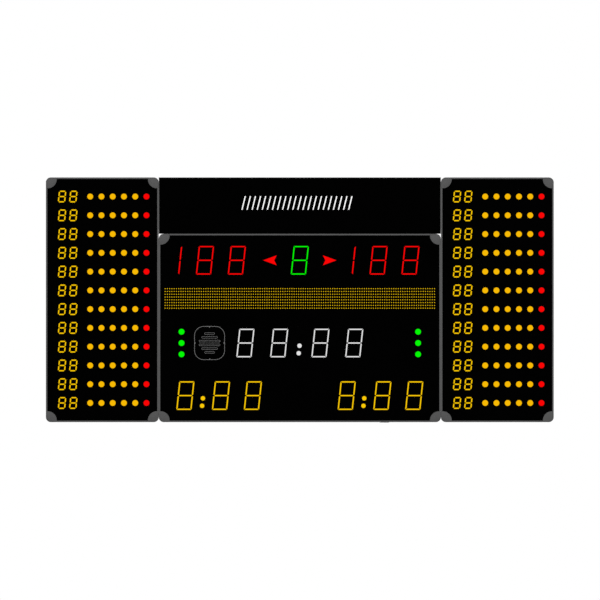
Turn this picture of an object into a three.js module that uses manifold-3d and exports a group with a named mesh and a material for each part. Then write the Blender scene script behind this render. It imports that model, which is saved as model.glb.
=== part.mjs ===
// Wall-mounted electronic scoreboard: two player cabinets, a centre cabinet and an advert panel.
// Millimetres, +Z up, the front faces -Y, X = 0 is the middle of the board and Y = 0 is the wall.
// Heights are measured from the underside of the cabinets, and the whole board is lowered at the
// end so that the origin is the middle of the upper wall rail's back face.

import * as THREE from 'three';
import { mergeVertices } from 'three/addons/utils/BufferGeometryUtils.js';
import Module from 'manifold-3d';

const wasm = await Module();
wasm.setup();

// Cabinets
const centreWidth = 2000;
const centreHeight = 1335;
const sideWidth = 800;
const sideHeight = 1735;
const cabinetDepth = 95;
const seatGap = 0.3;
const overrun = 1;
const weldDistance = 0.001;

// Frame profile and its moulded corners
const rimWidth = 10.3;
const lipThickness = 2.5;
const webThickness = 4;
const rearLipWidth = 20;
const rearLipThickness = 2;
const cornerRadius = 35;
const cornerSteps = 4;
const capReach = 77;
const capRadius = 64;
const capSkin = 1.5;
const capSteps = 7;

// Front sheet and the display modules that stand in its windows
const sheetThickness = 3;
const backingThickness = 8;
const reliefHeight = 1.2;
const windowMargin = 15;
const moduleFlange = 10;
const playerMargin = 5;
const playerFlange = 4;

// Rear covers, doors and hangers, stacked from the wall forwards
const railDepth = 30;
const hangerThickness = 4;
const coverThickness = 1.5;
const coverInset = 2;
const doorThickness = 1.5;

const hangerBack = -(railDepth + seatGap);
const hangerFront = hangerBack - hangerThickness;
const coverBack = hangerFront - seatGap;
const coverFront = coverBack - coverThickness;
const doorFront = coverBack + seatGap;
const doorBack = doorFront + doorThickness;
const frameBack = coverFront - seatGap;
const frameFront = frameBack - cabinetDepth;
const lipBack = frameFront + lipThickness;
const sheetFront = lipBack + seatGap;
const sheetBack = sheetFront + sheetThickness;
const backingFront = sheetBack + seatGap;
const backingBack = backingFront + backingThickness;

// Characters and lights
const slantShare = 0.105;
const bigDigitHeight = 205;
const bigDigitWidth = 110.5;
const bigDigitStroke = 11;
const mitreGap = 1.4;
const playerDigitHeight = 86;
const playerDigitWidth = 55;
const playerDigitStroke = 11;
const lightRadius = 22;
const colonRadius = 16.5;
const colonDrop = 45.75;
const colonSpread = 26.55;
const dotSides = 8;

// Player rows on the side cabinets: two digits, five foul lights and one exclusion light each
const playerRows = 12;
const rowsPerModule = 4;
const rowMargin = 135.7;
const digitMargin = 114.6;
const dotMargin = 86.7;
const columnShares = { digits: [0, 1], lights: [2.5, 3.5, 4.5, 5.5, 6.5, 7.5] };
const columnSpanShare = 7.5;

// Rows of the centre cabinet
const scoreDrop = 187.7;
const homeGapShare = 0.6233;
const guestGapShare = 0.3043;
const hundredsPitch = 176.1;
const digitPitch = 226.1;
const arrowTip = 263;
const arrowBack = 161.4;
const arrowNotch = 18.6;
const arrowHalfHeight = 37.3;
const matrixGapShare = 0.3673;
const matrixMargin = 45;
const matrixRows = 8;
const matrixRowPitch = 19.76;
const matrixDotSize = 10;
const clockGapShare = 0.4347;
const clockInnerReach = 146.1;
const clockPitch = 239.7;
const hornGapShare = 0.2417;
const timeoutGapShare = 0.185;
const timeoutPitch = 79.9;
const timeoutLights = 3;
const penaltyRise = 188;
const penaltyMargin = 188.6;
const minutePitch = 252.7;

// Horn
const hornWidth = 214;
const hornHeight = 236.5;
const hornCorner = 65;
const hornPlateThickness = 2;
const hornFlange = 8;
const hornSlotLength = 153;
const hornSlotHeight = 17;
const hornSlotPitch = 26.8;
const hornSlotSteps = 4;
const hornSlotShares = [0.48, 0.75, 1, 1, 0.75, 0.48];
const hornSides = 16;
const driverRadius = 88;
const driverDepth = 62;
const driverFlange = 6;
const basketMouth = 76;
const basketWall = 4;
const magnetRadius = 40;
const magnetDepth = 24;
const poleRadius = 11.6;
const coilGap = 0.4;
const coilWall = 1.4;
const coilRoom = 1.2;
const coilRoomDepth = 16;
const polePlay = 4;
const coneTravel = 2;
const coneThickness = 1.5;
const coneRimPlay = 3.5;
const coneDepth = 20;
const coneFront = 3;
const coneNeck = 16;
const domeRise = 5;

// Rear covers and service doors
const sideDoorWidth = 560;
const centreDoorWidth = 930;
const doorRise = 260;
const doorBelowCleat = 91.3;
const doorOverlap = 15;
const hingeRadius = 6;
const hingeSides = 12;
const hingeEdgeGap = 1.5;
const hingeLength = 25;
const hingeInset = 100;
const leafWidth = 14;
const pinRadius = 3;
const pinReach = 20;
const pinSides = 8;
const borePlay = 0.35;
const ventLength = 200;
const ventHeight = 6;
const ventPitch = 16;
const ventInset = 60;
const ventsPerStack = 4;

// Quarter-turn latches
const latchInset = 20;
const latchShaft = 5;
const latchPlay = 0.4;
const latchHeadRadius = 12;
const latchHeadThickness = 5;
const latchSides = 8;
const gripWidth = 6;
const gripLength = 20;
const gripHeight = 5;
const camLength = 38;
const camWidth = 14;
const camThickness = 3;
const latchSpreadShare = 0.3;

// Wall rails and hangers
const railEndInset = 40;
const railHeight = 60;
const railThickness = 3;
const railLip = 12;
const upperRailHeight = 1185;
const lowerRailHeight = 150;
const boltSlotLength = 30;
const boltSlotWidth = 12;
const boltSlotChamfer = 4;
const boltSlotSteps = 1;
const boltSlots = 6;
const legWidth = 40;
const sideLegClearance = 35;
const centreLegClearance = 145;
const cleatHeight = 90;
const tongueDrop = 9;
const advertLegMargin = 40;

// Advert panel
const advertHeight = 399.7;
const advertFaceThickness = 3;
const advertWallThickness = 2;
const advertLipWidth = 20;

// Power and control equipment
const supplyLength = 215;
const supplyHeight = 115;
const supplyDepth = 38;
const supplyTerminalHeight = 22;
const supplyTerminalDepth = 18;
const supplyGapAboveDoor = 40;
const equipmentWidth = 700;
const equipmentHeight = 740;
const equipmentSheet = 2;
const equipmentBehindModules = 22;
const equipmentFoot = 45;
const equipmentMargin = 40;
const equipmentRise = 380;
const boardLength = 300;
const boardHeight = 220;
const boardThickness = 1.6;
const standoffLength = 10;
const standoffSize = 8;
const standoffInset = 8;
const boardBlockHeight = 14;
const boardBlockLength = 90;
const boardBlockWidth = 40;
const boardBlockInset = 30;

// Power inlet under the centre cabinet, with its fuse drawer and rocker
const inletPlace = 600;
const inletWall = 2.5;
const inletFlange = 4;
const inletFlangeThickness = 2.5;
const socketLength = 23;
const socketWidth = 15;
const socketDepth = 16;
const socketPinSetback = 5.5;
const socketPinSpread = 7;
const socketPinShift = 2;
const socketPinLength = 4;
const socketPinWidth = 2;
const fuseLength = 10;
const fuseWidth = 20;
const fuseDepth = 22;
const fuseTrough = 6;
const fuseTroughWall = 3;
const rockerRadius = 7.4;
const rockerWidth = 20;
const rockerPlay = 0.4;
const rockerSteps = 8;
const rockerPivotRise = 5;
const rockerFaceDrop = 6;
const rockerFaceValley = 4.5;
const rockerFaceReach = 4;
const rockerTilt = THREE.MathUtils.degToRad(9);

// Materials
const framePaint = new THREE.MeshStandardMaterial({ color: 0x545454, roughness: 0.55, metalness: 0.2 });
const capPlastic = new THREE.MeshStandardMaterial({ color: 0x545454, roughness: 0.6, metalness: 0 });
const blackSheet = new THREE.MeshStandardMaterial({ color: 0x050505, roughness: 0.85, metalness: 0 });
const yellowModule = new THREE.MeshStandardMaterial({ color: 0xfcbd00, roughness: 0.4, metalness: 0 });
const redModule = new THREE.MeshStandardMaterial({ color: 0xff0000, roughness: 0.4, metalness: 0 });
const greenModule = new THREE.MeshStandardMaterial({ color: 0x00f800, roughness: 0.4, metalness: 0 });
const whiteModule = new THREE.MeshStandardMaterial({ color: 0xe6e6e6, roughness: 0.4, metalness: 0 });
const steel = new THREE.MeshStandardMaterial({ color: 0xa7abad, roughness: 0.45, metalness: 0.9 });
const doorPaint = new THREE.MeshStandardMaterial({ color: 0x3c3e40, roughness: 0.6, metalness: 0.2 });
const aluminium = new THREE.MeshStandardMaterial({ color: 0xb9bcbf, roughness: 0.4, metalness: 0.9 });
const blackPlastic = new THREE.MeshStandardMaterial({ color: 0x161616, roughness: 0.5, metalness: 0 });
const greenBoard = new THREE.MeshStandardMaterial({ color: 0x1f5a34, roughness: 0.5, metalness: 0 });

const bigDigit = { height: bigDigitHeight, width: bigDigitWidth, stroke: bigDigitStroke };
const playerDigit = { height: playerDigitHeight, width: playerDigitWidth, stroke: playerDigitStroke };

const quarterTurn = Math.PI / 2;
const corners = [
  { name: 'bottom_left', turns: 0, side: -1, level: 0 },
  { name: 'top_left', turns: 1, side: -1, level: 1 },
  { name: 'top_right', turns: 2, side: 1, level: 1 },
  { name: 'bottom_right', turns: 3, side: 1, level: 0 },
];

// A closed mesh as a solid that can be joined and cut
function toSolid(geometry) {
  const bare = geometry.clone();
  bare.deleteAttribute('normal');
  bare.deleteAttribute('uv');
  const merged = mergeVertices(bare, weldDistance);
  const kept = [];
  for (let i = 0; i < merged.index.count; i += 3) {
    const [a, b, c] = [0, 1, 2].map((k) => merged.index.getX(i + k));
    if (a !== b && b !== c && c !== a) kept.push(a, b, c);
  }
  const vertProperties = new Float32Array(merged.attributes.position.array);
  return new wasm.Manifold(new wasm.Mesh({ numProp: 3, vertProperties, triVerts: new Uint32Array(kept) }));
}

// A solid as a mesh geometry
function toGeometry(solid) {
  const mesh = solid.getMesh();
  const geometry = new THREE.BufferGeometry();
  geometry.setAttribute('position', new THREE.BufferAttribute(new Float32Array(mesh.vertProperties), 3));
  geometry.setIndex(new THREE.BufferAttribute(new Uint32Array(mesh.triVerts), 1));
  geometry.computeVertexNormals();
  return geometry;
}

function joined(first, ...others) {
  return others.reduce((whole, other) => whole.add(other), first);
}

function cutBy(first, ...others) {
  return others.reduce((whole, other) => whole.subtract(other), first);
}

function turned(solid, turns, x, z) {
  return toSolid(toGeometry(solid).rotateY(turns * quarterTurn).translate(x, 0, z));
}

function box(x0, x1, y0, y1, z0, z1) {
  const geometry = new THREE.BoxGeometry(x1 - x0, y1 - y0, z1 - z0);
  return toSolid(geometry.translate((x0 + x1) / 2, (y0 + y1) / 2, (z0 + z1) / 2));
}

function extrusion(outlines, holes, depth) {
  const shapes = outlines.map((points) => new THREE.Shape(points));
  holes.forEach((points) => shapes[0].holes.push(new THREE.Path(points)));
  return new THREE.ExtrudeGeometry(shapes, { depth, bevelEnabled: false });
}

// Outlines drawn in X and height, made thick from y0 back to y1
function slab(outlines, holes, y0, y1) {
  return toSolid(extrusion(outlines, holes, y1 - y0).rotateX(quarterTurn).translate(0, y1, 0));
}

// An outline drawn in X and Y, standing from z0 up to z1
function post(outline, z0, z1) {
  return toSolid(extrusion([outline], [], z1 - z0).translate(0, 0, z0));
}

// An outline drawn in Y and height, running along X from x0 to x1
function rail(outline, x0, x1) {
  const alongX = new THREE.Matrix4().makeBasis(
    new THREE.Vector3(0, 1, 0), new THREE.Vector3(0, 0, 1), new THREE.Vector3(1, 0, 0));
  return toSolid(extrusion([outline], [], x1 - x0).applyMatrix4(alongX).translate(x0, 0, 0));
}

// A profile of radius and distance from the front, turned about an axis along Y
function turnedProfile(profile, y0) {
  const points = profile.map(([radius, distance]) => new THREE.Vector2(radius, distance));
  return toSolid(new THREE.LatheGeometry(points, hornSides).translate(0, y0, 0));
}

function arc(x, z, radius, from, to, steps) {
  const points = [];
  for (let i = 0; i <= steps; i += 1) {
    const angle = from + ((to - from) * i) / steps;
    points.push(new THREE.Vector2(x + radius * Math.cos(angle), z + radius * Math.sin(angle)));
  }
  return points;
}

function polygon(x, z, radius, sides) {
  return arc(x, z, radius, 0, 4 * quarterTurn, sides).slice(0, sides);
}

function rectangle(x0, x1, z0, z1) {
  return [[x0, z0], [x1, z0], [x1, z1], [x0, z1]].map(([x, z]) => new THREE.Vector2(x, z));
}

function roundedRectangle(x0, x1, z0, z1, radius, steps) {
  return [
    ...arc(x0 + radius, z0 + radius, radius, 2 * quarterTurn, 3 * quarterTurn, steps),
    ...arc(x1 - radius, z0 + radius, radius, 3 * quarterTurn, 4 * quarterTurn, steps),
    ...arc(x1 - radius, z1 - radius, radius, 0, quarterTurn, steps),
    ...arc(x0 + radius, z1 - radius, radius, quarterTurn, 2 * quarterTurn, steps),
  ];
}

// Outline of a cabinet, drawn in from its outer faces by an inset
function cabinetOutline(width, height, inset) {
  const half = width / 2 - inset;
  return roundedRectangle(-half, half, inset, height - inset, cornerRadius - inset, cornerSteps);
}

// Outline of the square at a cabinet's corner, from an inset out to a reach
function cornerOutline(inset, reach) {
  return [
    ...[[reach, inset], [reach, reach], [inset, reach]].map(([x, z]) => new THREE.Vector2(x, z)),
    ...arc(cornerRadius, cornerRadius, cornerRadius - inset, 2 * quarterTurn, 3 * quarterTurn, cornerSteps),
  ];
}

// Front of a corner cap: a square whose inner corner is rounded, with a gap around it
function capOutline(gap) {
  const centre = capReach - capRadius;
  const reach = capReach + gap;
  return [
    new THREE.Vector2(-overrun, -overrun),
    new THREE.Vector2(reach, -overrun),
    ...arc(centre, centre, capRadius + gap, 0, quarterTurn, capSteps),
    new THREE.Vector2(-overrun, reach),
  ];
}

// Corner cap at its own corner: a plate in front and a skin round the outside
function cornerCap() {
  const plate = slab([cornerOutline(0, capReach)], [], frameFront, lipBack - seatGap)
    .intersect(slab([capOutline(0)], [], frameFront - overrun, lipBack + overrun));
  const core = slab([cornerOutline(capSkin, capReach + overrun)], [],
    frameFront - overrun, frameBack + overrun);
  const skin = slab([cornerOutline(0, capReach)], [], frameFront, frameBack).subtract(core);
  return joined(plate, skin);
}

// What a corner cap takes out of the frame
function capSeat() {
  const reach = capReach + seatGap;
  const front = slab([capOutline(seatGap)], [], frameFront - overrun, lipBack);
  const block = box(-overrun, reach, frameFront - overrun, frameBack + overrun, -overrun, reach);
  const core = slab([cornerOutline(capSkin + seatGap, reach + overrun)], [],
    frameFront - 2 * overrun, frameBack + 2 * overrun);
  return joined(front, block.subtract(core));
}

// Extruded frame with a rim in front and a narrow lip behind, mitred and welded into a loop
function cabinetFrame(width, height) {
  const outer = cabinetOutline(width, height, 0);
  const web = slab([outer], [cabinetOutline(width, height, webThickness)], frameFront, frameBack);
  const rim = slab([outer], [cabinetOutline(width, height, rimWidth)], frameFront, lipBack);
  const rearLip = slab([outer], [cabinetOutline(width, height, rearLipWidth)],
    frameBack - rearLipThickness, frameBack);
  const seat = capSeat();
  const seats = corners.map(
    ({ turns, side, level }) => turned(seat, turns, (side * width) / 2, level * height));
  return cutBy(joined(web, rim, rearLip), ...seats);
}

function frontSheet(width, height, windows) {
  const sheet = slab([cabinetOutline(width, height, webThickness + seatGap)], [], sheetFront, sheetBack);
  return sheet.subtract(slab(windows, [], sheetFront - overrun, sheetBack + overrun));
}

// Outlines of a slanted seven-segment character about its own centre
function segmentOutlines({ height, width, stroke }, names) {
  const x = width / 2;
  const z = height / 2;
  const half = stroke / 2;
  const bar = [[-x + mitreGap, z], [x - mitreGap, z],
    [x - stroke - mitreGap, z - stroke], [-x + stroke + mitreGap, z - stroke]];
  const upright = [[-x, z - mitreGap], [-x + stroke, z - stroke - mitreGap],
    [-x + stroke, half + mitreGap], [-x + half, mitreGap], [-x, half + mitreGap]];
  const end = x - stroke - mitreGap;
  const middle = [[-end - half, 0], [-end, half], [end, half], [end + half, 0], [end, -half],
    [-end, -half]];
  const mirrored = (points, sx, sz) => points.map(([px, pz]) => [sx * px, sz * pz]);
  const all = {
    top: bar,
    bottom: mirrored(bar, 1, -1),
    upperLeft: upright,
    upperRight: mirrored(upright, -1, 1),
    lowerLeft: mirrored(upright, 1, -1),
    lowerRight: mirrored(upright, -1, -1),
    middle,
  };
  return names.map((name) => all[name]);
}

function placed(outlines, x, z) {
  return outlines.map((points) => points.map(
    ([px, pz]) => new THREE.Vector2(x + px + slantShare * pz, z + pz)));
}

const everySegment = ['top', 'bottom', 'upperLeft', 'upperRight', 'lowerLeft', 'lowerRight', 'middle'];

function eight(style, x, z) {
  return placed(segmentOutlines(style, everySegment), x, z);
}

// A player's small figure as one closed eight: its outline and its two windows
function closedEight({ height, width, stroke }, x, z) {
  const [right, top] = [width / 2, height / 2];
  const half = stroke / 2;
  const frameOf = (x0, x1, z0, z1) => [[x0, z0], [x1, z0], [x1, z1], [x0, z1]];
  const window = [right - stroke, half, top - stroke];
  return {
    outlines: placed([frameOf(-right, right, -top, top)], x, z),
    windows: placed([
      frameOf(-window[0], window[0], window[1], window[2]),
      frameOf(-window[0], window[0], -window[2], -window[1]),
    ], x, z),
  };
}

function one(style, x, z) {
  const shift = (style.width - style.stroke) / 2;
  return placed(segmentOutlines(style, ['upperRight', 'lowerRight']), x - shift, z);
}

function colon(x, z) {
  return [-colonDrop + colonSpread, -colonDrop - colonSpread].map(
    (rise) => polygon(x + slantShare * rise, z + rise, colonRadius, dotSides));
}

function light(x, z) {
  return polygon(x, z, lightRadius, dotSides);
}

// Arrow about the middle of the board, pointing to the side it stands on
function arrow(side) {
  const points = [[arrowTip, 0], [arrowBack, arrowHalfHeight], [arrowBack + arrowNotch, 0],
    [arrowBack, -arrowHalfHeight]];
  return points.map(([x, z]) => new THREE.Vector2(side * x, z));
}

// Display module: a face that fills its window, a backing behind the sheet, and raised characters
function displayModule(outlines, margin, flange, windows = []) {
  const bounds = new THREE.Box2().setFromPoints(outlines.flat()).expandByScalar(margin);
  const { min, max } = bounds;
  const face = box(min.x, max.x, sheetFront, backingFront + backingThickness / 2, min.y, max.y);
  const backing = box(min.x - flange, max.x + flange, backingFront, backingBack,
    min.y - flange, max.y + flange);
  const [reliefFront, reliefBack] = [sheetFront - reliefHeight, sheetFront + sheetThickness / 2];
  const cuts = windows.length ? [slab(windows, [], reliefFront - overrun, reliefBack + overrun)] : [];
  const relief = cutBy(slab(outlines, [], reliefFront, reliefBack), ...cuts);
  return { solid: joined(face, backing, relief), bounds };
}

// Window that leaves the seat gap round a module's face
function windowFor({ bounds }, x, z) {
  const { min, max } = bounds;
  return rectangle(min.x + x - seatGap, max.x + x + seatGap, min.y + z - seatGap, max.y + z + seatGap);
}

// One block of player rows, about the height of its lowest row
const rowPitch = (sideHeight - 2 * rowMargin) / (playerRows - 1);
const columnPitch = (sideWidth - digitMargin - dotMargin) / columnSpanShare;

function playerModule() {
  const place = (share) => digitMargin - sideWidth / 2 + share * columnPitch;
  const outlines = [];
  const windows = [];
  for (let row = 0; row < rowsPerModule; row += 1) {
    const z = row * rowPitch;
    columnShares.digits.forEach((share) => {
      const figure = closedEight(playerDigit, place(share), z);
      outlines.push(...figure.outlines);
      windows.push(...figure.windows);
    });
    outlines.push(...columnShares.lights.map((share) => light(place(share), z)));
  }
  return displayModule(outlines, playerMargin, playerFlange, windows);
}

// Three figures of a team score, from the hundreds figure's place
function scoreModule() {
  const outlines = [
    ...one(bigDigit, 0, 0),
    ...eight(bigDigit, hundredsPitch, 0),
    ...eight(bigDigit, hundredsPitch + digitPitch, 0),
  ];
  return displayModule(outlines, windowMargin, moduleFlange);
}

function periodModule() {
  const outlines = [...eight(bigDigit, 0, 0), arrow(-1), arrow(1)];
  return displayModule(outlines, windowMargin, moduleFlange);
}

// Dot matrix for names: each row of dots is one raised strip here
function nameMatrix() {
  const half = centreWidth / 2 - matrixMargin + matrixDotSize / 2;
  const outlines = [];
  for (let row = 0; row < matrixRows; row += 1) {
    const z = (row - (matrixRows - 1) / 2) * matrixRowPitch;
    outlines.push(rectangle(-half, half, z - matrixDotSize / 2, z + matrixDotSize / 2));
  }
  return displayModule(outlines, playerMargin, moduleFlange);
}

function clockModule() {
  const outer = clockInnerReach + clockPitch;
  const places = [-outer, -clockInnerReach, clockInnerReach, outer];
  const outlines = [...places.flatMap((x) => eight(bigDigit, x, 0)), ...colon(0, 0)];
  return displayModule(outlines, windowMargin, moduleFlange);
}

function timeoutModule() {
  const outlines = [];
  for (let i = 0; i < timeoutLights; i += 1) {
    outlines.push(light(0, (i - (timeoutLights - 1) / 2) * timeoutPitch));
  }
  return displayModule(outlines, windowMargin, moduleFlange);
}

// Minutes and seconds of a penalty, from the minute figure's place
function penaltyModule() {
  const outlines = [
    ...eight(bigDigit, 0, 0),
    ...colon(minutePitch / 2, 0),
    ...eight(bigDigit, minutePitch, 0),
    ...eight(bigDigit, minutePitch + digitPitch, 0),
  ];
  return displayModule(outlines, windowMargin, moduleFlange);
}

// Moulded grille of the horn: a slotted plate in its window with a flange behind the sheet
function hornOutline(offset) {
  const x = hornWidth / 2 + offset;
  const z = hornHeight / 2 + offset;
  return roundedRectangle(-x, x, -z, z, hornCorner + offset, cornerSteps);
}

function hornGrille() {
  const plateBack = backingFront + hornPlateThickness;
  const face = slab([hornOutline(0)], [], sheetFront, plateBack);
  const flange = slab([hornOutline(hornFlange)], [], backingFront, plateBack);
  const end = hornSlotHeight / 2;
  const slots = hornSlotShares.map((share, i) => {
    const half = (hornSlotLength * share) / 2;
    const z = (i - (hornSlotShares.length - 1) / 2) * hornSlotPitch;
    return slab([[
      ...arc(half - end, z, end, -quarterTurn, quarterTurn, hornSlotSteps),
      ...arc(-half + end, z, end, quarterTurn, 3 * quarterTurn, hornSlotSteps),
    ]], [], sheetFront - overrun, plateBack + overrun);
  });
  return cutBy(joined(face, flange), ...slots);
}

const driverFront = backingFront + hornPlateThickness + seatGap;
const coilInner = poleRadius + coilGap;
const coilOuter = coilInner + coilWall;
const basketFloor = driverDepth - magnetDepth - basketWall;
const coneRim = basketMouth - coneRimPlay;
const coneBack = coneFront + coneDepth;

// Horn driver: flanged basket, magnet and the pole that guides the coil
function hornDriver() {
  return turnedProfile([
    [0, basketFloor - polePlay],
    [poleRadius, basketFloor - polePlay],
    [poleRadius, basketFloor + coilRoomDepth],
    [coilOuter + coilRoom, basketFloor + coilRoomDepth],
    [coilOuter + coilRoom, basketFloor],
    [magnetRadius - basketWall, basketFloor],
    [basketMouth, driverFlange],
    [basketMouth, 0],
    [driverRadius, 0],
    [driverRadius, driverFlange],
    [basketMouth + basketWall, driverFlange],
    [magnetRadius, driverDepth - magnetDepth],
    [magnetRadius, driverDepth],
    [0, driverDepth],
  ], driverFront);
}

// Horn cone with its dust cap and the coil former that runs on the pole
function hornCone() {
  const coilEnd = basketFloor + coilRoomDepth - 2 * coneTravel - coneThickness;
  return turnedProfile([
    [0, coneBack - domeRise],
    [coneNeck / 2, coneBack - domeRise + coneThickness],
    [coneNeck, coneBack],
    [coneRim, coneFront],
    [coneRim, coneFront + coneThickness],
    [coilOuter, coneBack + 2 * coneThickness],
    [coilOuter, coilEnd],
    [coilInner, coilEnd],
    [coilInner, coneBack + coneThickness],
    [0, coneBack - domeRise + coneThickness],
  ], driverFront);
}

const hangerShelf = upperRailHeight + railHeight / 2 + railLip + seatGap;
const hangerTop = hangerShelf + hangerThickness;
const doorHeight = hangerTop - cleatHeight - doorBelowCleat - doorRise;

// Service door geometry about the middle of its cabinet
function doorPlan(width) {
  const left = -width / 2;
  const top = doorRise + doorHeight;
  return {
    left,
    right: width / 2,
    bottom: doorRise,
    top,
    openRight: width / 2 - doorOverlap,
    axisX: left - hingeEdgeGap - hingeRadius,
    axisY: coverBack + seatGap + hingeRadius,
    latchX: width / 2 - doorOverlap - latchInset,
    hingeBottoms: [doorRise + hingeInset, top - hingeInset - 2 * hingeLength],
  };
}

// Rear cover with the door opening, and the lower hinge leaves with their pins
function rearCover(width, height, doorWidth) {
  const door = doorPlan(doorWidth);
  const opening = rectangle(door.left + doorOverlap, door.openRight,
    door.bottom + doorOverlap, door.top - doorOverlap);
  const plate = slab([cabinetOutline(width, height, coverInset)], [opening], coverFront, coverBack);
  const hinges = door.hingeBottoms.flatMap((z) => {
    const leaf = box(door.axisX - leafWidth, door.axisX, coverBack - coverThickness / 2, door.axisY,
      z, z + hingeLength);
    const knuckle = post(polygon(door.axisX, door.axisY, hingeRadius, hingeSides), z, z + hingeLength);
    const pin = post(polygon(door.axisX, door.axisY, pinRadius, pinSides),
      z + hingeLength / 2, z + hingeLength + pinReach);
    return [leaf, knuckle, pin];
  });
  return joined(plate, ...hinges);
}

// Lift-off service door with vents, upper hinge knuckles and the latch holes
function serviceDoor(doorWidth, latchHeights) {
  const door = doorPlan(doorWidth);
  const vents = [];
  for (let i = 0; i < ventsPerStack; i += 1) {
    const drop = ventInset + i * ventPitch;
    [door.bottom + drop, door.top - drop].forEach((z) => {
      vents.push(rectangle(-ventLength / 2, ventLength / 2, z - ventHeight / 2, z + ventHeight / 2));
    });
  }
  const holeRadius = (latchShaft + latchPlay) / Math.cos(Math.PI / latchSides);
  const holes = latchHeights.map((z) => polygon(door.latchX, z, holeRadius, latchSides));
  const plate = slab([rectangle(door.left, door.right, door.bottom, door.top)], [...vents, ...holes],
    doorFront, doorBack);
  const boreRadius = (pinRadius + borePlay) / Math.cos(Math.PI / pinSides);
  const bottoms = door.hingeBottoms.map((z) => z + hingeLength + seatGap);
  const knuckles = bottoms.flatMap((z) => [
    post(polygon(door.axisX, door.axisY, hingeRadius, hingeSides), z, z + hingeLength),
    box(door.axisX, door.left + hingeEdgeGap, doorFront, doorBack, z, z + hingeLength),
  ]);
  const bores = bottoms.map((z) => post(polygon(door.axisX, door.axisY, boreRadius, pinSides),
    z - overrun, z + hingeLength + overrun));
  return cutBy(joined(plate, ...knuckles), ...bores);
}

// Quarter-turn latch about its own axis, with the cam upright, clear of the cover
function doorLatch() {
  const camBack = coverFront - seatGap;
  const headFront = doorBack + seatGap;
  const headBack = headFront + latchHeadThickness;
  return joined(
    slab([polygon(0, 0, latchHeadRadius, latchSides)], [], headFront, headBack),
    slab([rectangle(-gripWidth / 2, gripWidth / 2, -gripLength / 2, gripLength / 2)], [],
      headFront, headBack + gripHeight),
    slab([polygon(0, 0, latchShaft, latchSides)], [], camBack - camThickness, headBack),
    box(-camWidth / 2, camWidth / 2, camBack - camThickness, camBack, -camWidth / 2, camLength),
  );
}

const boardHalf = centreWidth / 2 + seatGap + sideWidth;
const railHalf = boardHalf - railEndInset;

// Wall rail: a channel with anchor slots, and on the upper one a lip for the cleats
function wallRail(hasLip) {
  const z = railHeight / 2;
  const t = railThickness;
  const front = -railDepth;
  const lip = hasLip ? [[front, z + railLip], [front + t, z + railLip], [front + t, z]] : [[front, z]];
  const outline = [[0, z], [0, -z], [front, -z], [front, -z + t], [-t, -z + t], [-t, z - t],
    [front, z - t], ...lip];
  const body = rail(outline.map(([y, height]) => new THREE.Vector2(y, height)), -railHalf, railHalf);
  const slotPitch = (2 * railHalf) / boltSlots;
  const slots = [];
  for (let i = 0; i < boltSlots; i += 1) {
    const x = (i + 1 / 2) * slotPitch - railHalf;
    slots.push(slab([roundedRectangle(x - boltSlotLength / 2, x + boltSlotLength / 2,
      -boltSlotWidth / 2, boltSlotWidth / 2, boltSlotChamfer, boltSlotSteps)], [], -t - overrun, overrun));
  }
  return cutBy(body, ...slots);
}

// Hanger: a cleat hooked over the upper rail's lip, and two legs down to the lower rail
function hanger(doorWidth, legClearance, top) {
  const half = doorWidth / 2 + legClearance + legWidth;
  const tongueFront = -railDepth + railThickness + seatGap;
  const tongueBack = tongueFront + hangerThickness;
  const tongueEnd = hangerShelf - seatGap - tongueDrop;
  const cleatEnd = hangerTop - cleatHeight;
  const outline = [[hangerFront, cleatEnd], [hangerBack, cleatEnd], [hangerBack, hangerShelf],
    [tongueFront, hangerShelf], [tongueFront, tongueEnd], [tongueBack, tongueEnd], [tongueBack, hangerTop],
    [hangerFront, hangerTop]];
  const cleat = rail(outline.map(([y, z]) => new THREE.Vector2(y, z)), -half, half);
  const foot = lowerRailHeight - railHeight / 2;
  const legs = [-half, half - legWidth].map(
    (x) => box(x, x + legWidth, hangerFront, hangerBack, foot, top));
  return joined(cleat, ...legs);
}

const advertBottom = centreHeight + seatGap;
const advertTop = advertBottom + advertHeight;

// Advert panel: a folded tray that stands on the centre cabinet
function advertPanel() {
  const x = centreWidth / 2;
  const outlineFrom = (inset) => rectangle(-x + inset, x - inset, advertBottom + inset, advertTop - inset);
  const face = slab([outlineFrom(0)], [], frameFront, frameFront + advertFaceThickness);
  const walls = slab([outlineFrom(0)], [outlineFrom(advertWallThickness)], frameFront, coverBack);
  const rearLip = slab([outlineFrom(0)], [outlineFrom(advertLipWidth)],
    coverBack - advertWallThickness, coverBack);
  return joined(face, walls, rearLip);
}

// Power supply with its terminal step, on a face at y that it stands out from to one side
function powerSupply(x, y, side, z) {
  const [x0, x1] = [x - supplyLength / 2, x + supplyLength / 2];
  const layer = (depth, z0, z1) => {
    const face = y + side * depth;
    return box(x0, x1, Math.min(y, face), Math.max(y, face), z0, z1);
  };
  return joined(
    layer(supplyDepth, z + supplyTerminalHeight, z + supplyHeight),
    layer(supplyTerminalDepth, z, z + supplyTerminalHeight + overrun),
  );
}

const equipmentFront = backingBack + equipmentBehindModules;
const equipmentBack = equipmentFront + equipmentSheet;
const webTop = webThickness + seatGap;

// Upright plate for the power supply and controller, with its foot on the frame
function equipmentPlate() {
  const x = equipmentWidth / 2;
  return joined(
    box(-x, x, equipmentFront, equipmentBack, webTop, webTop + equipmentHeight),
    box(-x, x, equipmentFront, equipmentBack + equipmentFoot, webTop, webTop + equipmentSheet),
  );
}

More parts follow.
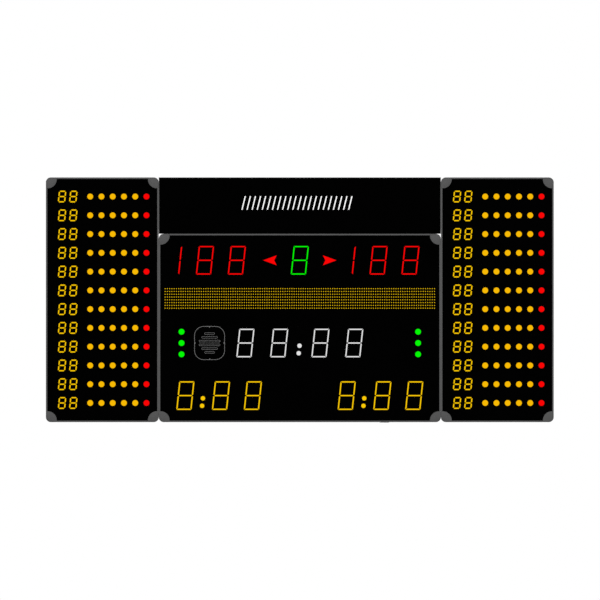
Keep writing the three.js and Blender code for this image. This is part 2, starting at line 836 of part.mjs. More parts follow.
// Controller board on four standoffs, with two connector blocks
function controllerBoard() {
  const x1 = equipmentWidth / 2 - equipmentMargin;
  const x0 = x1 - boardLength;
  const z0 = equipmentRise;
  const z1 = z0 + boardHeight;
  const y0 = equipmentBack + seatGap;
  const boardFront = y0 + standoffLength;
  const boardBack = boardFront + boardThickness;
  const posts = [x0 + standoffInset, x1 - standoffInset - standoffSize].flatMap(
    (x) => [z0 + standoffInset, z1 - standoffInset - standoffSize].map(
      (z) => box(x, x + standoffSize, y0, boardFront + boardThickness / 2, z, z + standoffSize)));
  const blocks = [z0 + boardBlockInset, z1 - boardBlockInset - boardBlockWidth].map(
    (z) => box(x0 + boardBlockInset, x0 + boardBlockInset + boardBlockLength,
      boardFront + boardThickness / 2, boardBack + boardBlockHeight, z, z + boardBlockWidth));
  return joined(box(x0, x1, boardFront, boardBack, z0, z1), ...posts, ...blocks);
}

// Power inlet, drawn about its middle with Z = 0 at the cabinet's underside
const rockerPocket = 2 * (rockerRadius + rockerPlay);
const inletWidth = Math.max(socketWidth, fuseWidth, rockerWidth) + 2 * (inletWall + seatGap);
const inletLength = socketLength + fuseLength + rockerPocket + 4 * inletWall;
const inletFace = -seatGap - inletFlangeThickness;
const socketX = -inletLength / 2 + inletWall + socketLength / 2;
const fuseX = socketX + socketLength / 2 + inletWall + fuseLength / 2;
const rockerX = fuseX + fuseLength / 2 + inletWall + rockerPocket / 2;
const rockerDepth = rockerPivotRise + rockerRadius + rockerPlay;
const inletHeight = Math.max(socketDepth, fuseDepth, rockerDepth) + inletWall;
const rockerAxisZ = inletFace + rockerPivotRise;

function uprightBox(x, y, length, width, z0, z1) {
  return box(x - length / 2, x + length / 2, y - width / 2, y + width / 2, z0, z1);
}

function powerInlet() {
  const body = uprightBox(0, 0, inletLength, inletWidth, inletFace, inletFace + inletHeight);
  const flange = uprightBox(0, 0, inletLength + 2 * inletFlange, inletWidth + 2 * inletFlange,
    inletFace, -seatGap);
  const mouth = inletFace - overrun;
  const socket = uprightBox(socketX, 0, socketLength, socketWidth, mouth, inletFace + socketDepth);
  const fusePocket = uprightBox(fuseX, 0, fuseLength, fuseWidth, mouth, inletFace + fuseDepth);
  const rockerRoom = uprightBox(rockerX, 0, rockerPocket, rockerWidth + 2 * rockerPlay, mouth,
    rockerAxisZ + rockerRadius + rockerPlay);
  const pins = [-1, 0, 1].map((side) => {
    const y = side ? -socketPinShift : socketPinShift;
    return uprightBox(socketX + side * socketPinSpread, y, socketPinWidth, socketPinLength,
      inletFace + socketPinSetback, inletFace + socketDepth + overrun);
  });
  return joined(cutBy(joined(body, flange), socket, fusePocket, rockerRoom), ...pins);
}

// Fuse drawer, filling its pocket but for the seat gap, with a trough for the fuse
function fuseDrawer() {
  const length = fuseLength - 2 * seatGap;
  const width = fuseWidth - 2 * seatGap;
  const top = inletFace + fuseDepth - seatGap;
  const body = uprightBox(fuseX, 0, length, width, inletFace, top);
  const trough = box(fuseX - length / 2 + fuseTroughWall, fuseX + length / 2 + overrun,
    -fuseTrough / 2, fuseTrough / 2, inletFace + fuseTroughWall, top - fuseTroughWall);
  return body.subtract(trough);
}

// Rocker of the power switch about its own axis: round above, a shallow valley below
function powerSwitch() {
  const half = rockerWidth / 2;
  const outline = [
    ...arc(0, 0, rockerRadius, 0, 2 * quarterTurn, rockerSteps),
    new THREE.Vector2(-rockerFaceReach, -rockerFaceDrop),
    new THREE.Vector2(0, -rockerFaceValley),
    new THREE.Vector2(rockerFaceReach, -rockerFaceDrop),
  ];
  return slab([outline], [], -half, half);
}

// Cut that lets the inlet's body through the bottom of the centre frame
const inletY = (frameBack + frameFront) / 2;

function inletHole() {
  return uprightBox(inletPlace, inletY, inletLength + 2 * seatGap, inletWidth + 2 * seatGap,
    -overrun, webThickness + overrun);
}

function piece(name, solid, material, x = 0, y = 0, z = 0) {
  const mesh = new THREE.Mesh(solid.isBufferGeometry ? solid : toGeometry(solid), material);
  mesh.name = name;
  mesh.position.set(x, y, z);
  return mesh;
}

const capGeometry = toGeometry(cornerCap());
const latchGeometry = toGeometry(doorLatch());

function cornerCaps(prefix, width, height) {
  return corners.map(({ name, turns, side, level }) => {
    const cap = piece(`${prefix}_corner_cap_${name}`, capGeometry, capPlastic,
      (side * width) / 2, 0, level * height);
    cap.rotation.y = turns * quarterTurn;
    return cap;
  });
}

// Side cabinets: the same pieces on either side of the board
const playerBlock = playerModule();
const playerBlockRows = [];
for (let row = 0; row < playerRows; row += rowsPerModule) playerBlockRows.push(rowMargin + row * rowPitch);
const sideLatchHeight = doorRise + doorHeight / 2;
const sideDoor = doorPlan(sideDoorWidth);
const sideSupplyRise = sideDoor.top + supplyGapAboveDoor;
const sideSolids = {
  frame: [toGeometry(cabinetFrame(sideWidth, sideHeight)), framePaint],
  front_sheet: [toGeometry(frontSheet(sideWidth, sideHeight,
    playerBlockRows.map((z) => windowFor(playerBlock, 0, z)))), blackSheet],
  rear_cover: [toGeometry(rearCover(sideWidth, sideHeight, sideDoorWidth)), steel],
  service_door: [toGeometry(serviceDoor(sideDoorWidth, [sideLatchHeight])), doorPaint],
  hanger: [toGeometry(hanger(sideDoorWidth, sideLegClearance, hangerTop)), steel],
  power_supply: [toGeometry(powerSupply(0, coverFront - seatGap, -1, sideSupplyRise)), aluminium],
};
const playerGeometry = toGeometry(playerBlock.solid);
const blockNames = ['lower', 'middle', 'upper'];

function sideCabinet(prefix, side) {
  const cabinet = new THREE.Group();
  cabinet.position.x = (side * (centreWidth + sideWidth)) / 2 + side * seatGap;
  Object.entries(sideSolids).forEach(([name, [geometry, material]]) => {
    cabinet.add(piece(`${prefix}_${name}`, geometry, material));
  });
  playerBlockRows.forEach((z, i) => {
    cabinet.add(piece(`${prefix}_player_module_${blockNames[i]}`, playerGeometry, yellowModule, 0, 0, z));
  });
  cabinet.add(
    piece(`${prefix}_door_latch`, latchGeometry, blackPlastic, sideDoor.latchX, 0, sideLatchHeight),
    ...cornerCaps(prefix, sideWidth, sideHeight),
  );
  return cabinet;
}

// Centre cabinet: the modules of a row share the room that they leave in it
const score = scoreModule();
const period = periodModule();
const matrix = nameMatrix();
const clock = clockModule();
const timeout = timeoutModule();
const penalty = penaltyModule();
const spanOf = ({ bounds }) => bounds.max.x - bounds.min.x + 2 * moduleFlange;
const riseOf = ({ bounds }) => bounds.max.y - bounds.min.y + 2 * moduleFlange;

const scoreRoom = (centreWidth - spanOf(period)) / 2 - spanOf(score);
const scoreStart = moduleFlange - score.bounds.min.x;
const homeScoreX = -centreWidth / 2 + homeGapShare * scoreRoom + scoreStart;
const guestScoreX = spanOf(period) / 2 + guestGapShare * scoreRoom + scoreStart;

const hornSpan = hornWidth + 2 * hornFlange;
const clockRoom = (centreWidth - spanOf(clock)) / 2 - hornSpan - spanOf(timeout);
const hornX = -(spanOf(clock) + hornSpan) / 2 - hornGapShare * clockRoom;
const timeoutX = -hornX + timeoutGapShare * clockRoom + (hornSpan + spanOf(timeout)) / 2;

const scoreLine = centreHeight - scoreDrop;
const rowsBetween = riseOf(clock) + riseOf(matrix) + (riseOf(penalty) + riseOf(score)) / 2;
const rowRoom = scoreLine - penaltyRise - rowsBetween;
const clockLine = penaltyRise + (riseOf(penalty) + riseOf(clock)) / 2 + clockGapShare * rowRoom;
const matrixLine = clockLine + (riseOf(clock) + riseOf(matrix)) / 2 + matrixGapShare * rowRoom;

const centreModules = [
  ['home_score_module', score, redModule, homeScoreX, scoreLine],
  ['guest_score_module', score, redModule, guestScoreX, scoreLine],
  ['period_module', period, greenModule, 0, scoreLine],
  ['name_matrix', matrix, yellowModule, 0, matrixLine],
  ['clock_module', clock, whiteModule, 0, clockLine],
  ['home_timeout_lights', timeout, greenModule, -timeoutX, clockLine],
  ['guest_timeout_lights', timeout, greenModule, timeoutX, clockLine],
  ['home_penalty_module', penalty, yellowModule, penaltyMargin - centreWidth / 2, penaltyRise],
  ['guest_penalty_module', penalty, yellowModule,
    centreWidth / 2 - penaltyMargin - digitPitch - minutePitch, penaltyRise],
];

function centreCabinet() {
  const cabinet = new THREE.Group();
  const hornWindow = hornOutline(seatGap).map(
    ({ x, y }) => new THREE.Vector2(x + hornX, y + clockLine));
  const windows = [...centreModules.map(([, module, , x, z]) => windowFor(module, x, z)), hornWindow];
  const latchHeights = [-1, 1].map((side) => doorRise + doorHeight * (1 / 2 + side * latchSpreadShare));
  const door = doorPlan(centreDoorWidth);
  cabinet.add(
    piece('centre_frame', cutBy(cabinetFrame(centreWidth, centreHeight), inletHole()), framePaint),
    piece('centre_front_sheet', frontSheet(centreWidth, centreHeight, windows), blackSheet),
    ...centreModules.map(([name, module, material, x, z]) => piece(name, module.solid, material, x, 0, z)),
    piece('horn_grille', hornGrille(), blackPlastic, hornX, 0, clockLine),
    piece('horn_driver', hornDriver(), steel, hornX, 0, clockLine),
    piece('horn_cone', hornCone(), blackPlastic, hornX, 0, clockLine),
    piece('centre_rear_cover', rearCover(centreWidth, centreHeight, centreDoorWidth), steel),
    piece('centre_service_door', serviceDoor(centreDoorWidth, latchHeights), doorPaint),
    piece('centre_door_latch_lower', latchGeometry, blackPlastic, door.latchX, 0, latchHeights[0]),
    piece('centre_door_latch_upper', latchGeometry, blackPlastic, door.latchX, 0, latchHeights[1]),
    piece('centre_hanger', hanger(centreDoorWidth, centreLegClearance, advertTop - advertLegMargin), steel),
    piece('equipment_plate', equipmentPlate(), steel),
    piece('centre_power_supply', powerSupply(-equipmentWidth / 2 + equipmentMargin + supplyLength / 2,
      equipmentBack + seatGap, 1, equipmentRise), aluminium),
    piece('controller_board', controllerBoard(), greenBoard),
    ...cornerCaps('centre', centreWidth, centreHeight),
  );
  return cabinet;
}

function inletGroup() {
  const group = new THREE.Group();
  group.position.set(inletPlace, inletY, 0);
  const rocker = piece('power_switch', powerSwitch(), blackPlastic, rockerX, 0, rockerAxisZ);
  rocker.rotation.y = rockerTilt;
  group.add(
    piece('power_inlet', powerInlet(), blackPlastic),
    piece('fuse_drawer', fuseDrawer(), blackPlastic),
    rocker,
  );
  return group;
}

const scoreboard = new THREE.Group();
scoreboard.position.z = -upperRailHeight;
scoreboard.add(
  sideCabinet('left', -1),
  centreCabinet(),
  sideCabinet('right', 1),
  inletGroup(),
  piece('advert_panel', advertPanel(), framePaint),
  piece('upper_wall_rail', wallRail(true), steel, 0, 0, upperRailHeight),
  piece('lower_wall_rail', wallRail(false), steel, 0, 0, lowerRailHeight),
);

export default scoreboard;
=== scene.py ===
from math import cos, pi, radians, sin, sqrt
from types import SimpleNamespace as Sizes

import bmesh
import bpy
from mathutils import Matrix, Vector


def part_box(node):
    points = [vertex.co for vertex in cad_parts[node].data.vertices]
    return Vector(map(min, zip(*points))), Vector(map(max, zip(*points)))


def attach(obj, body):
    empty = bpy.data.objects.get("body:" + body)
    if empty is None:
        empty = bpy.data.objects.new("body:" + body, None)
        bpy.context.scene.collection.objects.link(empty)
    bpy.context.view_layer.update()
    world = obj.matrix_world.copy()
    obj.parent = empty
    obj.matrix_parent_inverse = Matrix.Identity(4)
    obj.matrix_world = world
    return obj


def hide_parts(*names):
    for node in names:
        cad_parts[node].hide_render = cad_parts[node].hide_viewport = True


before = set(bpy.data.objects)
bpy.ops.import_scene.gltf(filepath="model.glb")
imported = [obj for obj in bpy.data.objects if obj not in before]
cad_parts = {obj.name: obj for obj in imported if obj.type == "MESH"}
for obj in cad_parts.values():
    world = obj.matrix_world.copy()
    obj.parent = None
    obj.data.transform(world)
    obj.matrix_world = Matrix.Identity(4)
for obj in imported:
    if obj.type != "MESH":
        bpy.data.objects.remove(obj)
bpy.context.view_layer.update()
SCENE = bpy.context.scene

# Pieces are drawn in millimetres, with heights from the underside of the cabinets
MM = 0.001
RAIL_HEIGHT = 1185

# Planes of the stack from the wall forwards, as in the CAD model
HANGER_BACK = -30.3
DOOR_BACK = -32.8
COVER_BACK = -34.6
COVER_FRONT = -36.1
FRAME_BACK = -36.4
PLATE_BACK = -93.3
BOARD_CLIP = -109.3
BOARD_SURFACE = -113.5
BACKING_BACK = -117.3
BACKING_FRONT = -125.3
LENS_BACK = -128.3
SHEET_FRONT = -128.6
LIP_BACK = -128.9
LENS_FRONT = -129.9
FRAME_FRONT = -131.4
GROOVE_MIDDLE = (FRAME_FRONT + FRAME_BACK) / 2
GROOVE_SPREAD = 30

# Cabinets: width, height and the place of their middle
CABINETS = {
    "left": (800, 1735, -1400.3),
    "centre": (2000, 1335, 0),
    "right": (800, 1735, 1400.3),
}
CAP = Sizes(reach=77, radius=64, wall=1.5, gap=0.3, chamfer=0.7, disc_steps=24, corner_steps=10)
CORNER_RADIUS = 35
JOINT = 0.3
LAP = 0.1
MODULE_FLANGE = 10
PLAYER_FLANGE = 4

# Characters: their places are from the left edge of a module or from its middle
SLANT = 0.105
BIG = Sizes(height=205, width=110.5, stroke=11, gap=1.2, clip=4)
SMALL = Sizes(height=86, width=55, stroke=11, gap=0.9)
LIGHT_RADIUS = 22
COLON_RADIUS = 16.5
COLON_RISES = (-19.2, -72.3)
LED_PITCH = 9
LENS_BEVEL = 1.5
LENS_EDGE_SHARE = 0.1
HUNDREDS_PITCH = 176.1
DIGIT_PITCH = 226.1
MINUTE_PITCH = 252.7
SCORE_START = 39.96
PENALTY_START = 90.8655
CLOCK_PLACES = (-385.8, -146.1, 146.1, 385.8)
ARROW = ((263, 0), (161.4, 37.3), (180, 0), (161.4, -37.3))
TIMEOUT_PITCH = 79.9

# Player rows, from the lowest: two figures and six lights in columns
PLAYERS = Sizes(rows=4, z=135.7, row_pitch=133.055, x=114.6, column_pitch=79.827,
                columns=(0, 1, 2.5, 3.5, 4.5, 5.5, 6.5, 7.5))

# Dot matrix
MATRIX = Sizes(columns=120, rows=8, column_pitch=16.05, row_pitch=19.76, dot=4.3, sides=10, glow_share=2.2)
RIB = Sizes(half=0.6, front=SHEET_FRONT - 1.4, back=SHEET_FRONT + 0.4, chamfer=0.3)

# Lights and screws: shares of the radius and of the rise. Other rings: radius, or its share, and distance
LIGHT_RISE = 1.5
LIGHT_SHARES = ((1, 0), (1, 0.35), (0.93, 0.62), (0.78, 0.82), (0.5, 0.95), (0, 1))
BEZEL_RINGS = ((0.1, 0.6), (0.1, -0.5), (0.6, -0.8), (1.9, -0.8), (2.4, -0.4), (2.4, 0.6), (0.1, 0.6))
DOT_RINGS = ((1, 0), (1, -0.5), (0.7, -1.4), (0, -1.8))
SCREW_SHARES = ((1, 0), (1, 0.45), (0.8, 0.8), (0.62, 1), (0.5, 1), (0.42, 0.55), (0, 0.5))


# Materials
MATERIALS = {}


def levels(*channels):
    """Display levels from 0 to 255 as a colour in linear light."""
    shares = [channel / 255 for channel in channels]
    return tuple(share / 12.92 if share <= 0.04045 else ((share + 0.055) / 1.055) ** 2.4 for share in shares)


def shaded(colour, share=1):
    return (*[channel * share for channel in colour], 1)


def grey(level):
    return (level, level, level)


WHITE = grey(1)
DEEP_BLACK = grey(0.0001)
FRAME_GREY = levels(*grey(84))


class Nodes:
    """The nodes of a material or of the world."""

    def __init__(self, tree):
        self.nodes, self.links = tree.nodes, tree.links

    def feed(self, node, inputs):
        """Each input gets a link from another node's output, or a plain value."""
        for socket, value in inputs.items():
            if isinstance(value, bpy.types.NodeSocket):
                self.links.new(value, node.inputs[socket])
            else:
                node.inputs[socket].default_value = value

    def add(self, kind, output, inputs=None, **settings):
        """One output of a new node."""
        node = self.nodes.new(f"ShaderNode{kind}")
        for name, value in settings.items():
            setattr(node, name, value)
        self.feed(node, inputs or {})
        return node.outputs[output]

    def maths(self, operation, *values):
        return self.add("Math", "Value", dict(enumerate(values)), operation=operation)

    def show(self, output, share, first, second):
        """The output node's surface: one shader, or a share of another in its place."""
        blended = self.add("MixShader", "Shader", {"Fac": share, 1: first, 2: second})
        self.feed(self.nodes[output], {"Surface": blended})


class Surface(Nodes):
    """A material in its piece's own space; sizes in it are in metres, and bumps in millimetres."""

    def __init__(self, name, colour, roughness, metallic=0, specular=0.5):
        self.made = MATERIALS[name] = bpy.data.materials.new(name)
        self.made.use_nodes = True
        super().__init__(self.made.node_tree)
        self.shader = self.nodes["Principled BSDF"]
        self.place = self.add("TexCoord", "Object")
        self.colour = colour
        self.set("Base Color", shaded(colour))
        self.set("Roughness", roughness)
        self.set("Metallic", metallic)
        self.set("Specular IOR Level", specular)

    def set(self, socket, value):
        self.feed(self.shader, {socket: value})

    def noise(self, scale, detail=4, stretch=None):
        place = self.place
        if stretch:
            place = self.add("Mapping", "Vector", {"Vector": place, "Scale": stretch})
        return self.add("TexNoise", "Fac", {"Scale": scale, "Detail": detail, "Vector": place})

    def ramp(self, value, low, high, to_low=0, to_high=1):
        """A value carried from one range to another, smoothly and within it."""
        inputs = {"From Min": low, "From Max": high, "To Min": to_low, "To Max": to_high, "Value": value}
        return self.add("MapRange", "Result", inputs, interpolation_type="SMOOTHSTEP")

    def mix(self, share, first, second, blend="MIX"):
        inputs = {"Factor": share, "A": first, "B": second}
        return self.add("Mix", "Result", inputs, data_type="RGBA", blend_type=blend)

    def shade(self, share, dark, light):
        """The base colour, between two shades of the material's own."""
        self.set("Base Color", self.mix(share, shaded(self.colour, dark), shaded(self.colour, light)))

    def bump(self, height, depth, strength):
        inputs = {"Strength": strength, "Distance": depth * MM, "Height": height}
        self.set("Normal", self.add("Bump", "Normal", inputs))


def powder_coat(name, colour, roughness, specular):
    """Paint with a fine orange-peel surface and faint handling marks."""
    paint = Surface(name, colour, roughness, specular=specular)
    paint.shade(paint.ramp(paint.noise(9), 0.35, 0.65), dark=0.975, light=1.015)
    paint.set("Roughness", paint.ramp(paint.noise(24), 0.3, 0.7, roughness - 0.03, roughness + 0.03))
    paint.bump(paint.noise(700, 2), depth=0.08, strength=0.35)
    return paint


def extrusion_paint(name, colour, roughness, specular):
    """Painted extrusion with two fine grooves along its outside, at equal distances from its middle."""
    paint = powder_coat(name, colour, roughness, specular)
    folded = paint.add("SeparateXYZ", "Y", {"Vector": paint.place})
    for distance in (GROOVE_MIDDLE, GROOVE_SPREAD):
        folded = paint.maths("ABSOLUTE", paint.maths("SUBTRACT", folded, distance * MM))
    beside = paint.ramp(folded, 0.6 * MM, 1.8 * MM)
    plain, normal = (paint.shader.inputs[name].links[0].from_socket for name in ("Base Color", "Normal"))
    # Painted shadow: the base colour is darkened along each groove
    shadow = paint.mix(beside, shaded(WHITE, 0.35), shaded(WHITE))
    paint.set("Base Color", paint.mix(1, plain, shadow, "MULTIPLY"))
    paint.set("Normal", paint.add("Bump", "Normal", {"Distance": 0.6 * MM, "Height": beside, "Normal": normal}))


def moulded_plastic(name, colour, roughness, specular, grain=1100):
    """Plastic with a fine spark-eroded grain."""
    plastic = Surface(name, colour, roughness, specular=specular)
    cells = plastic.add("TexVoronoi", "Distance", {"Scale": grain, "Vector": plastic.place})
    plastic.shade(plastic.ramp(plastic.noise(14), 0.35, 0.65), dark=0.98, light=1.02)
    plastic.bump(cells, depth=0.08, strength=0.5)


def face_sheet(name, colour, specular):
    """Matt screen-printed black face: even, with a trace of dust in its roughness."""
    sheet = Surface(name, colour, roughness=0.55, specular=specular)
    sheet.set("Roughness", sheet.ramp(sheet.noise(3, 8), 0.3, 0.75, 0.45, 0.7))
    sheet.shade(sheet.ramp(sheet.noise(5, 6), 0.4, 0.7), dark=1, light=1.8)
    sheet.bump(sheet.noise(1500, 1), depth=0.03, strength=0.35)


def galvanised(name, colour, spangle, roughness):
    """Galvanised sheet with its crystal spangle and rolled streaks."""
    sheet = Surface(name, colour, roughness, metallic=1)
    crystals = sheet.add("TexVoronoi", "Color", {"Scale": spangle, "Vector": sheet.place})
    channels = sheet.add("SeparateColor", "Red", {"Color": crystals}).node.outputs
    sheet.shade(channels["Red"], dark=0.955, light=1.03)
    sheet.set("Roughness", sheet.ramp(channels["Green"], 0, 1, roughness - 0.03, roughness + 0.04))
    sheet.bump(sheet.noise(260, 2, (1, 1, 0.06)), depth=0.04, strength=0.25)


def brushed_metal(name, colour, roughness, stretch):
    """Metal with fine lines along its run."""
    metal = Surface(name, colour, roughness, metallic=1)
    lines = metal.noise(900, 3, stretch)
    metal.shade(lines, dark=0.85, light=1.1)
    metal.set("Roughness", metal.ramp(lines, 0.3, 0.7, roughness - 0.07, roughness + 0.09))
    metal.bump(lines, depth=0.03, strength=0.4)


def circuit_board(name):
    """Solder mask over patches of straight copper tracks, with fields of plated pads."""
    mask, track, tin = (0.008, 0.06, 0.022), (0.018, 0.115, 0.04), (0.55, 0.54, 0.48)
    patch_scale, pad_scale, track_scale = 28.12, 196.84, 150
    board = Surface(name, mask, roughness=0.35)
    flat = board.add("Mapping", "Vector", {"Rotation": (pi / 2, 0, 0), "Vector": board.place})

    def cells(output, scale, distance):
        inputs = {"Scale": scale, "Randomness": 0, "Vector": flat}
        return board.add("TexVoronoi", output, inputs, voronoi_dimensions="2D", distance=distance)

    def lines(direction):
        return board.add("TexWave", "Fac", {"Scale": track_scale, "Vector": flat}, bands_direction=direction)

    patches = cells("Color", patch_scale, "CHEBYCHEV")
    channels = board.add("SeparateColor", "Red", {"Color": patches}).node.outputs
    runs_across = board.ramp(channels["Red"], 0.49, 0.51)
    lines_here = board.add("Mix", "Result", {"Factor": runs_across, "A": lines("X"), "B": lines("Y")})
    tracks = board.ramp(lines_here, 0.55, 0.75)
    pads = board.ramp(cells("Distance", pad_scale, "EUCLIDEAN"), 0.15, 0.2, 1, 0)
    pads_here = board.maths("MULTIPLY", pads, board.ramp(channels["Blue"], 0.6, 0.62))
    copper = board.mix(tracks, shaded(mask), shaded(track))
    board.set("Base Color", board.mix(pads_here, copper, shaded(tin)))
    board.bump(tracks, depth=0.03, strength=0.4)


def lens(name, colour, dim_share):
    """Lit lens in one colour, with the diodes behind it a little brighter than the gaps between them."""
    glow = Surface(name, grey(0), roughness=0.3, specular=0.02)

    def vectors(operation, *values, output="Vector"):
        return glow.add("VectorMath", output, dict(enumerate(values)), operation=operation)

    within = vectors("FRACTION", glow.add("UVMap", "UV", uv_map="diodes"))
    distance = vectors("LENGTH", vectors("SUBTRACT", within, (0.5, 0.5, 0)), output="Value")
    near = glow.ramp(distance, 0.16, 0.5, 1, 0)
    glow.set("Emission Color", glow.mix(near, shaded(colour, dim_share), shaded(colour)))
    glow.set("Emission Strength", 1)


def printed_film(name, colour):
    """Cut adhesive film with a faint sheen and a trace of unevenness."""
    film = Surface(name, colour, roughness=0.45, specular=0.3)
    film.shade(film.ramp(film.noise(40), 0.3, 0.7), dark=0.965, light=1)
    film.bump(film.noise(500, 2), depth=0.04, strength=0.3)


def paper_cone(name):
    paper = Surface(name, (0.02, 0.02, 0.021), roughness=0.85, specular=0.2)
    fibres = paper.noise(420, 6, (1, 0.3, 1))
    paper.set("Base Color", paper.mix(fibres, shaded(grey(0.012)), shaded((0.04, 0.04, 0.042))))
    paper.bump(fibres, depth=0.3, strength=0.5)


# Each lens: display levels, and how bright it is between its diodes. Its bevelled edge glows less
LENSES = {
    "lens_yellow": ((255, 204, 0), 0.94),
    "lens_amber": ((252, 189, 0), 0.94),
    "lens_red": ((255, 0, 0), 0.94),
    "lens_green": ((0, 252, 0), 0.94),
    "lens_white": ((232, 232, 232), 0.94),
    "lens_dot": ((255, 208, 0), 0.9),
}

# Each plastic: colour, roughness, specular level and scale of its grain
PLASTICS = {
    "corner_plastic": (FRAME_GREY, 0.55, 0.03),
    "slot_shadow": (grey(0.002), 0.9, 0.05),
    "wire_black": (grey(0.008), 0.45, 0.4, 300),
    "wire_red": ((0.35, 0.01, 0.01), 0.45, 0.4, 300),
    "black_plastic": (grey(0.006), 0.5, 0.35),
    "housing_plastic": (grey(0.01), 0.55, 0.3),
    "grille_plastic": (DEEP_BLACK, 0.55, 0.006),
    # Pale grey of the horn grille's trim, rims and ticks: a painted highlight along its edges
    "grille_edge_highlight": (levels(*grey(112)), 0.5, 0.03),
    "grille_cloth": (levels(*grey(12)), 0.9, 0.01, 500),
    "magnet": ((0.03, 0.03, 0.032), 0.7, 0.3, 700),
    "connector": ((0.75, 0.74, 0.68), 0.5, 0.4),
    "ribbon_grey": ((0.3, 0.3, 0.31), 0.5, 0.35, 400),
    "duct_plastic": ((0.42, 0.43, 0.44), 0.6, 0.3),
    "seal_rubber": (grey(0.012), 0.8, 0.3, 600),
}

for name, (channels, dim_share) in LENSES.items():
    for part, share in (("", 1), ("_edge", LENS_EDGE_SHARE)):
        lens(name + part, [channel * share for channel in levels(*channels)], dim_share)
for name, traits in PLASTICS.items():
    moulded_plastic(name, *traits)
for name in ("front_sheet", "advert_face"):
    face_sheet(name, DEEP_BLACK, specular=0.004)
extrusion_paint("frame_paint", FRAME_GREY, roughness=0.5, specular=0.03)
powder_coat("door_paint", (0.05, 0.053, 0.056), roughness=0.5, specular=0.35)
galvanised("cover_sheet", (0.36, 0.37, 0.38), spangle=95, roughness=0.5)
galvanised("zinc_steel", (0.48, 0.49, 0.50), spangle=320, roughness=0.42)
brushed_metal("supply_case", (0.62, 0.63, 0.64), roughness=0.34, stretch=(1, 0.04, 0.04))
brushed_metal("horn_steel", (0.35, 0.36, 0.37), roughness=0.4, stretch=(1, 0.05, 1))
brushed_metal("brass", (0.78, 0.58, 0.24), roughness=0.3, stretch=(1, 1, 0.05))
circuit_board("circuit_board")
paper_cone("horn_paper")
printed_film("advert_film", WHITE)
printed_film("mark_white", grey(0.8))


# Meshes
def anticlockwise(points):
    area = sum(a[0] * b[1] - b[0] * a[1] for a, b in zip(points, points[1:] + points[:1]))
    return list(points) if area > 0 else list(reversed(points))


def drawn_in(points, distance):
    """An anticlockwise outline drawn in by a distance."""
    least_share = 0.3
    moved = []
    for i, here in enumerate(points):
        before, after = Vector(points[i - 1]), Vector(points[(i + 1) % len(points)])
        here = Vector(here)
        a, b = (here - before).normalized(), (after - here).normalized()
        left_a, left_b = Vector((-a.y, a.x)), Vector((-b.y, b.x))
        share = distance / max(least_share, 1 + left_a.dot(left_b))
        moved.append(tuple(here + (left_a + left_b) * share))
    return moved


def skin(bm, rings, index=0, looped=False):
    """Faces from each ring of points to the next, the first and last ring's own faces at the end; a ring
    of one point is a tip, and a looped skin joins its last ring to its first."""
    rings = [[bm.verts.new(point) for point in ring] for ring in rings]
    count = max(len(ring) for ring in rings)
    faces = []
    for lower, upper in zip(rings, rings[1:] + (rings[:1] if looped else [])):
        for i in range(count):
            j = (i + 1) % count
            corners = [lower[i % len(lower)], lower[j % len(lower)], upper[j % len(upper)], upper[i % len(upper)]]
            corners = list(dict.fromkeys(corners))
            if len(corners) > 2:
                faces.append(bm.faces.new(corners))
    if not looped:
        faces += [bm.faces.new(ring) for ring in (rings[0], rings[-1]) if len(ring) > 2]
    for face in faces:
        face.material_index = index
    return faces


def prism(bm, outline, front, back, chamfer=0, index=0):
    """An outline in X and height made thick in Y, with a chamfer round its front."""
    outline = anticlockwise(outline)
    levels_in = [(back, 0), (front + chamfer, 0), (front, chamfer)] if chamfer else [(back, 0), (front, 0)]
    return skin(bm, [[(x, y, z) for x, z in drawn_in(outline, inset)] for y, inset in levels_in], index)


def block(bm, x0, x1, y0, y1, z0, z1, index=0):
    return prism(bm, rectangle(x0, x1, z0, z1), y0, y1, index=index)


def parts(bm, rows, x, z, start):
    """Blocks about a place, each with its own X, height and plane, then width, height, depth and material."""
    for px, pz, lift, width, height, depth, index in rows:
        prism(bm, centred(x + px, z + pz, width, height), start + lift + depth, start + lift, index=index)


def turned(bm, profile, to_place, sides=48, index=0):
    """A profile of radius and distance turned about an axis; to_place gives the point of radius, angle
    and distance."""
    looped = profile[0] == profile[-1]
    rings = [
        [to_place(radius, 2 * pi * i / sides, distance) for i in range(sides if radius else 1)]
        for radius, distance in (profile[:-1] if looped else profile)
    ]
    return skin(bm, rings, index, looped)


def stud(bm, rings, x, z, start=0, sides=48, index=0):
    """Rings about an axis along Y, at distances from a plane."""
    def to_place(radius, angle, y):
        return x + radius * cos(angle), start + y, z + radius * sin(angle)

    return turned(bm, rings, to_place, sides, index)


def spread(count, pitch):
    """Places about a middle, a pitch apart."""
    return [(i - (count - 1) / 2) * pitch for i in range(count)]


def arc(x, z, radius, start, end, steps):
    angles = [radians(start + (end - start) * i / steps) for i in range(steps + 1)]
    return [(x + radius * cos(a), z + radius * sin(a)) for a in angles]


def circle(x, z, radius, sides=32):
    return arc(x, z, radius, 0, 360, sides)[:-1]


def rectangle(x0, x1, z0, z1):
    return [(x0, z0), (x1, z0), (x1, z1), (x0, z1)]


def centred(x, z, width, height):
    return rectangle(x - width / 2, x + width / 2, z - height / 2, z + height / 2)


def rounded(x, z, width, height, radius, steps=8):
    corners = centred(x, z, width - 2 * radius, height - 2 * radius)
    return [
        point
        for turn, corner in enumerate(corners)
        for point in arc(*corner, radius, 180 + 90 * turn, 270 + 90 * turn, steps)
    ]


def linked(name, data, place=(0, 0, 0), turn=(0, 0, 0)):
    made = bpy.data.objects.new(name, data)
    made.location, made.rotation_euler = place, turn
    SCENE.collection.objects.link(made)
    return made


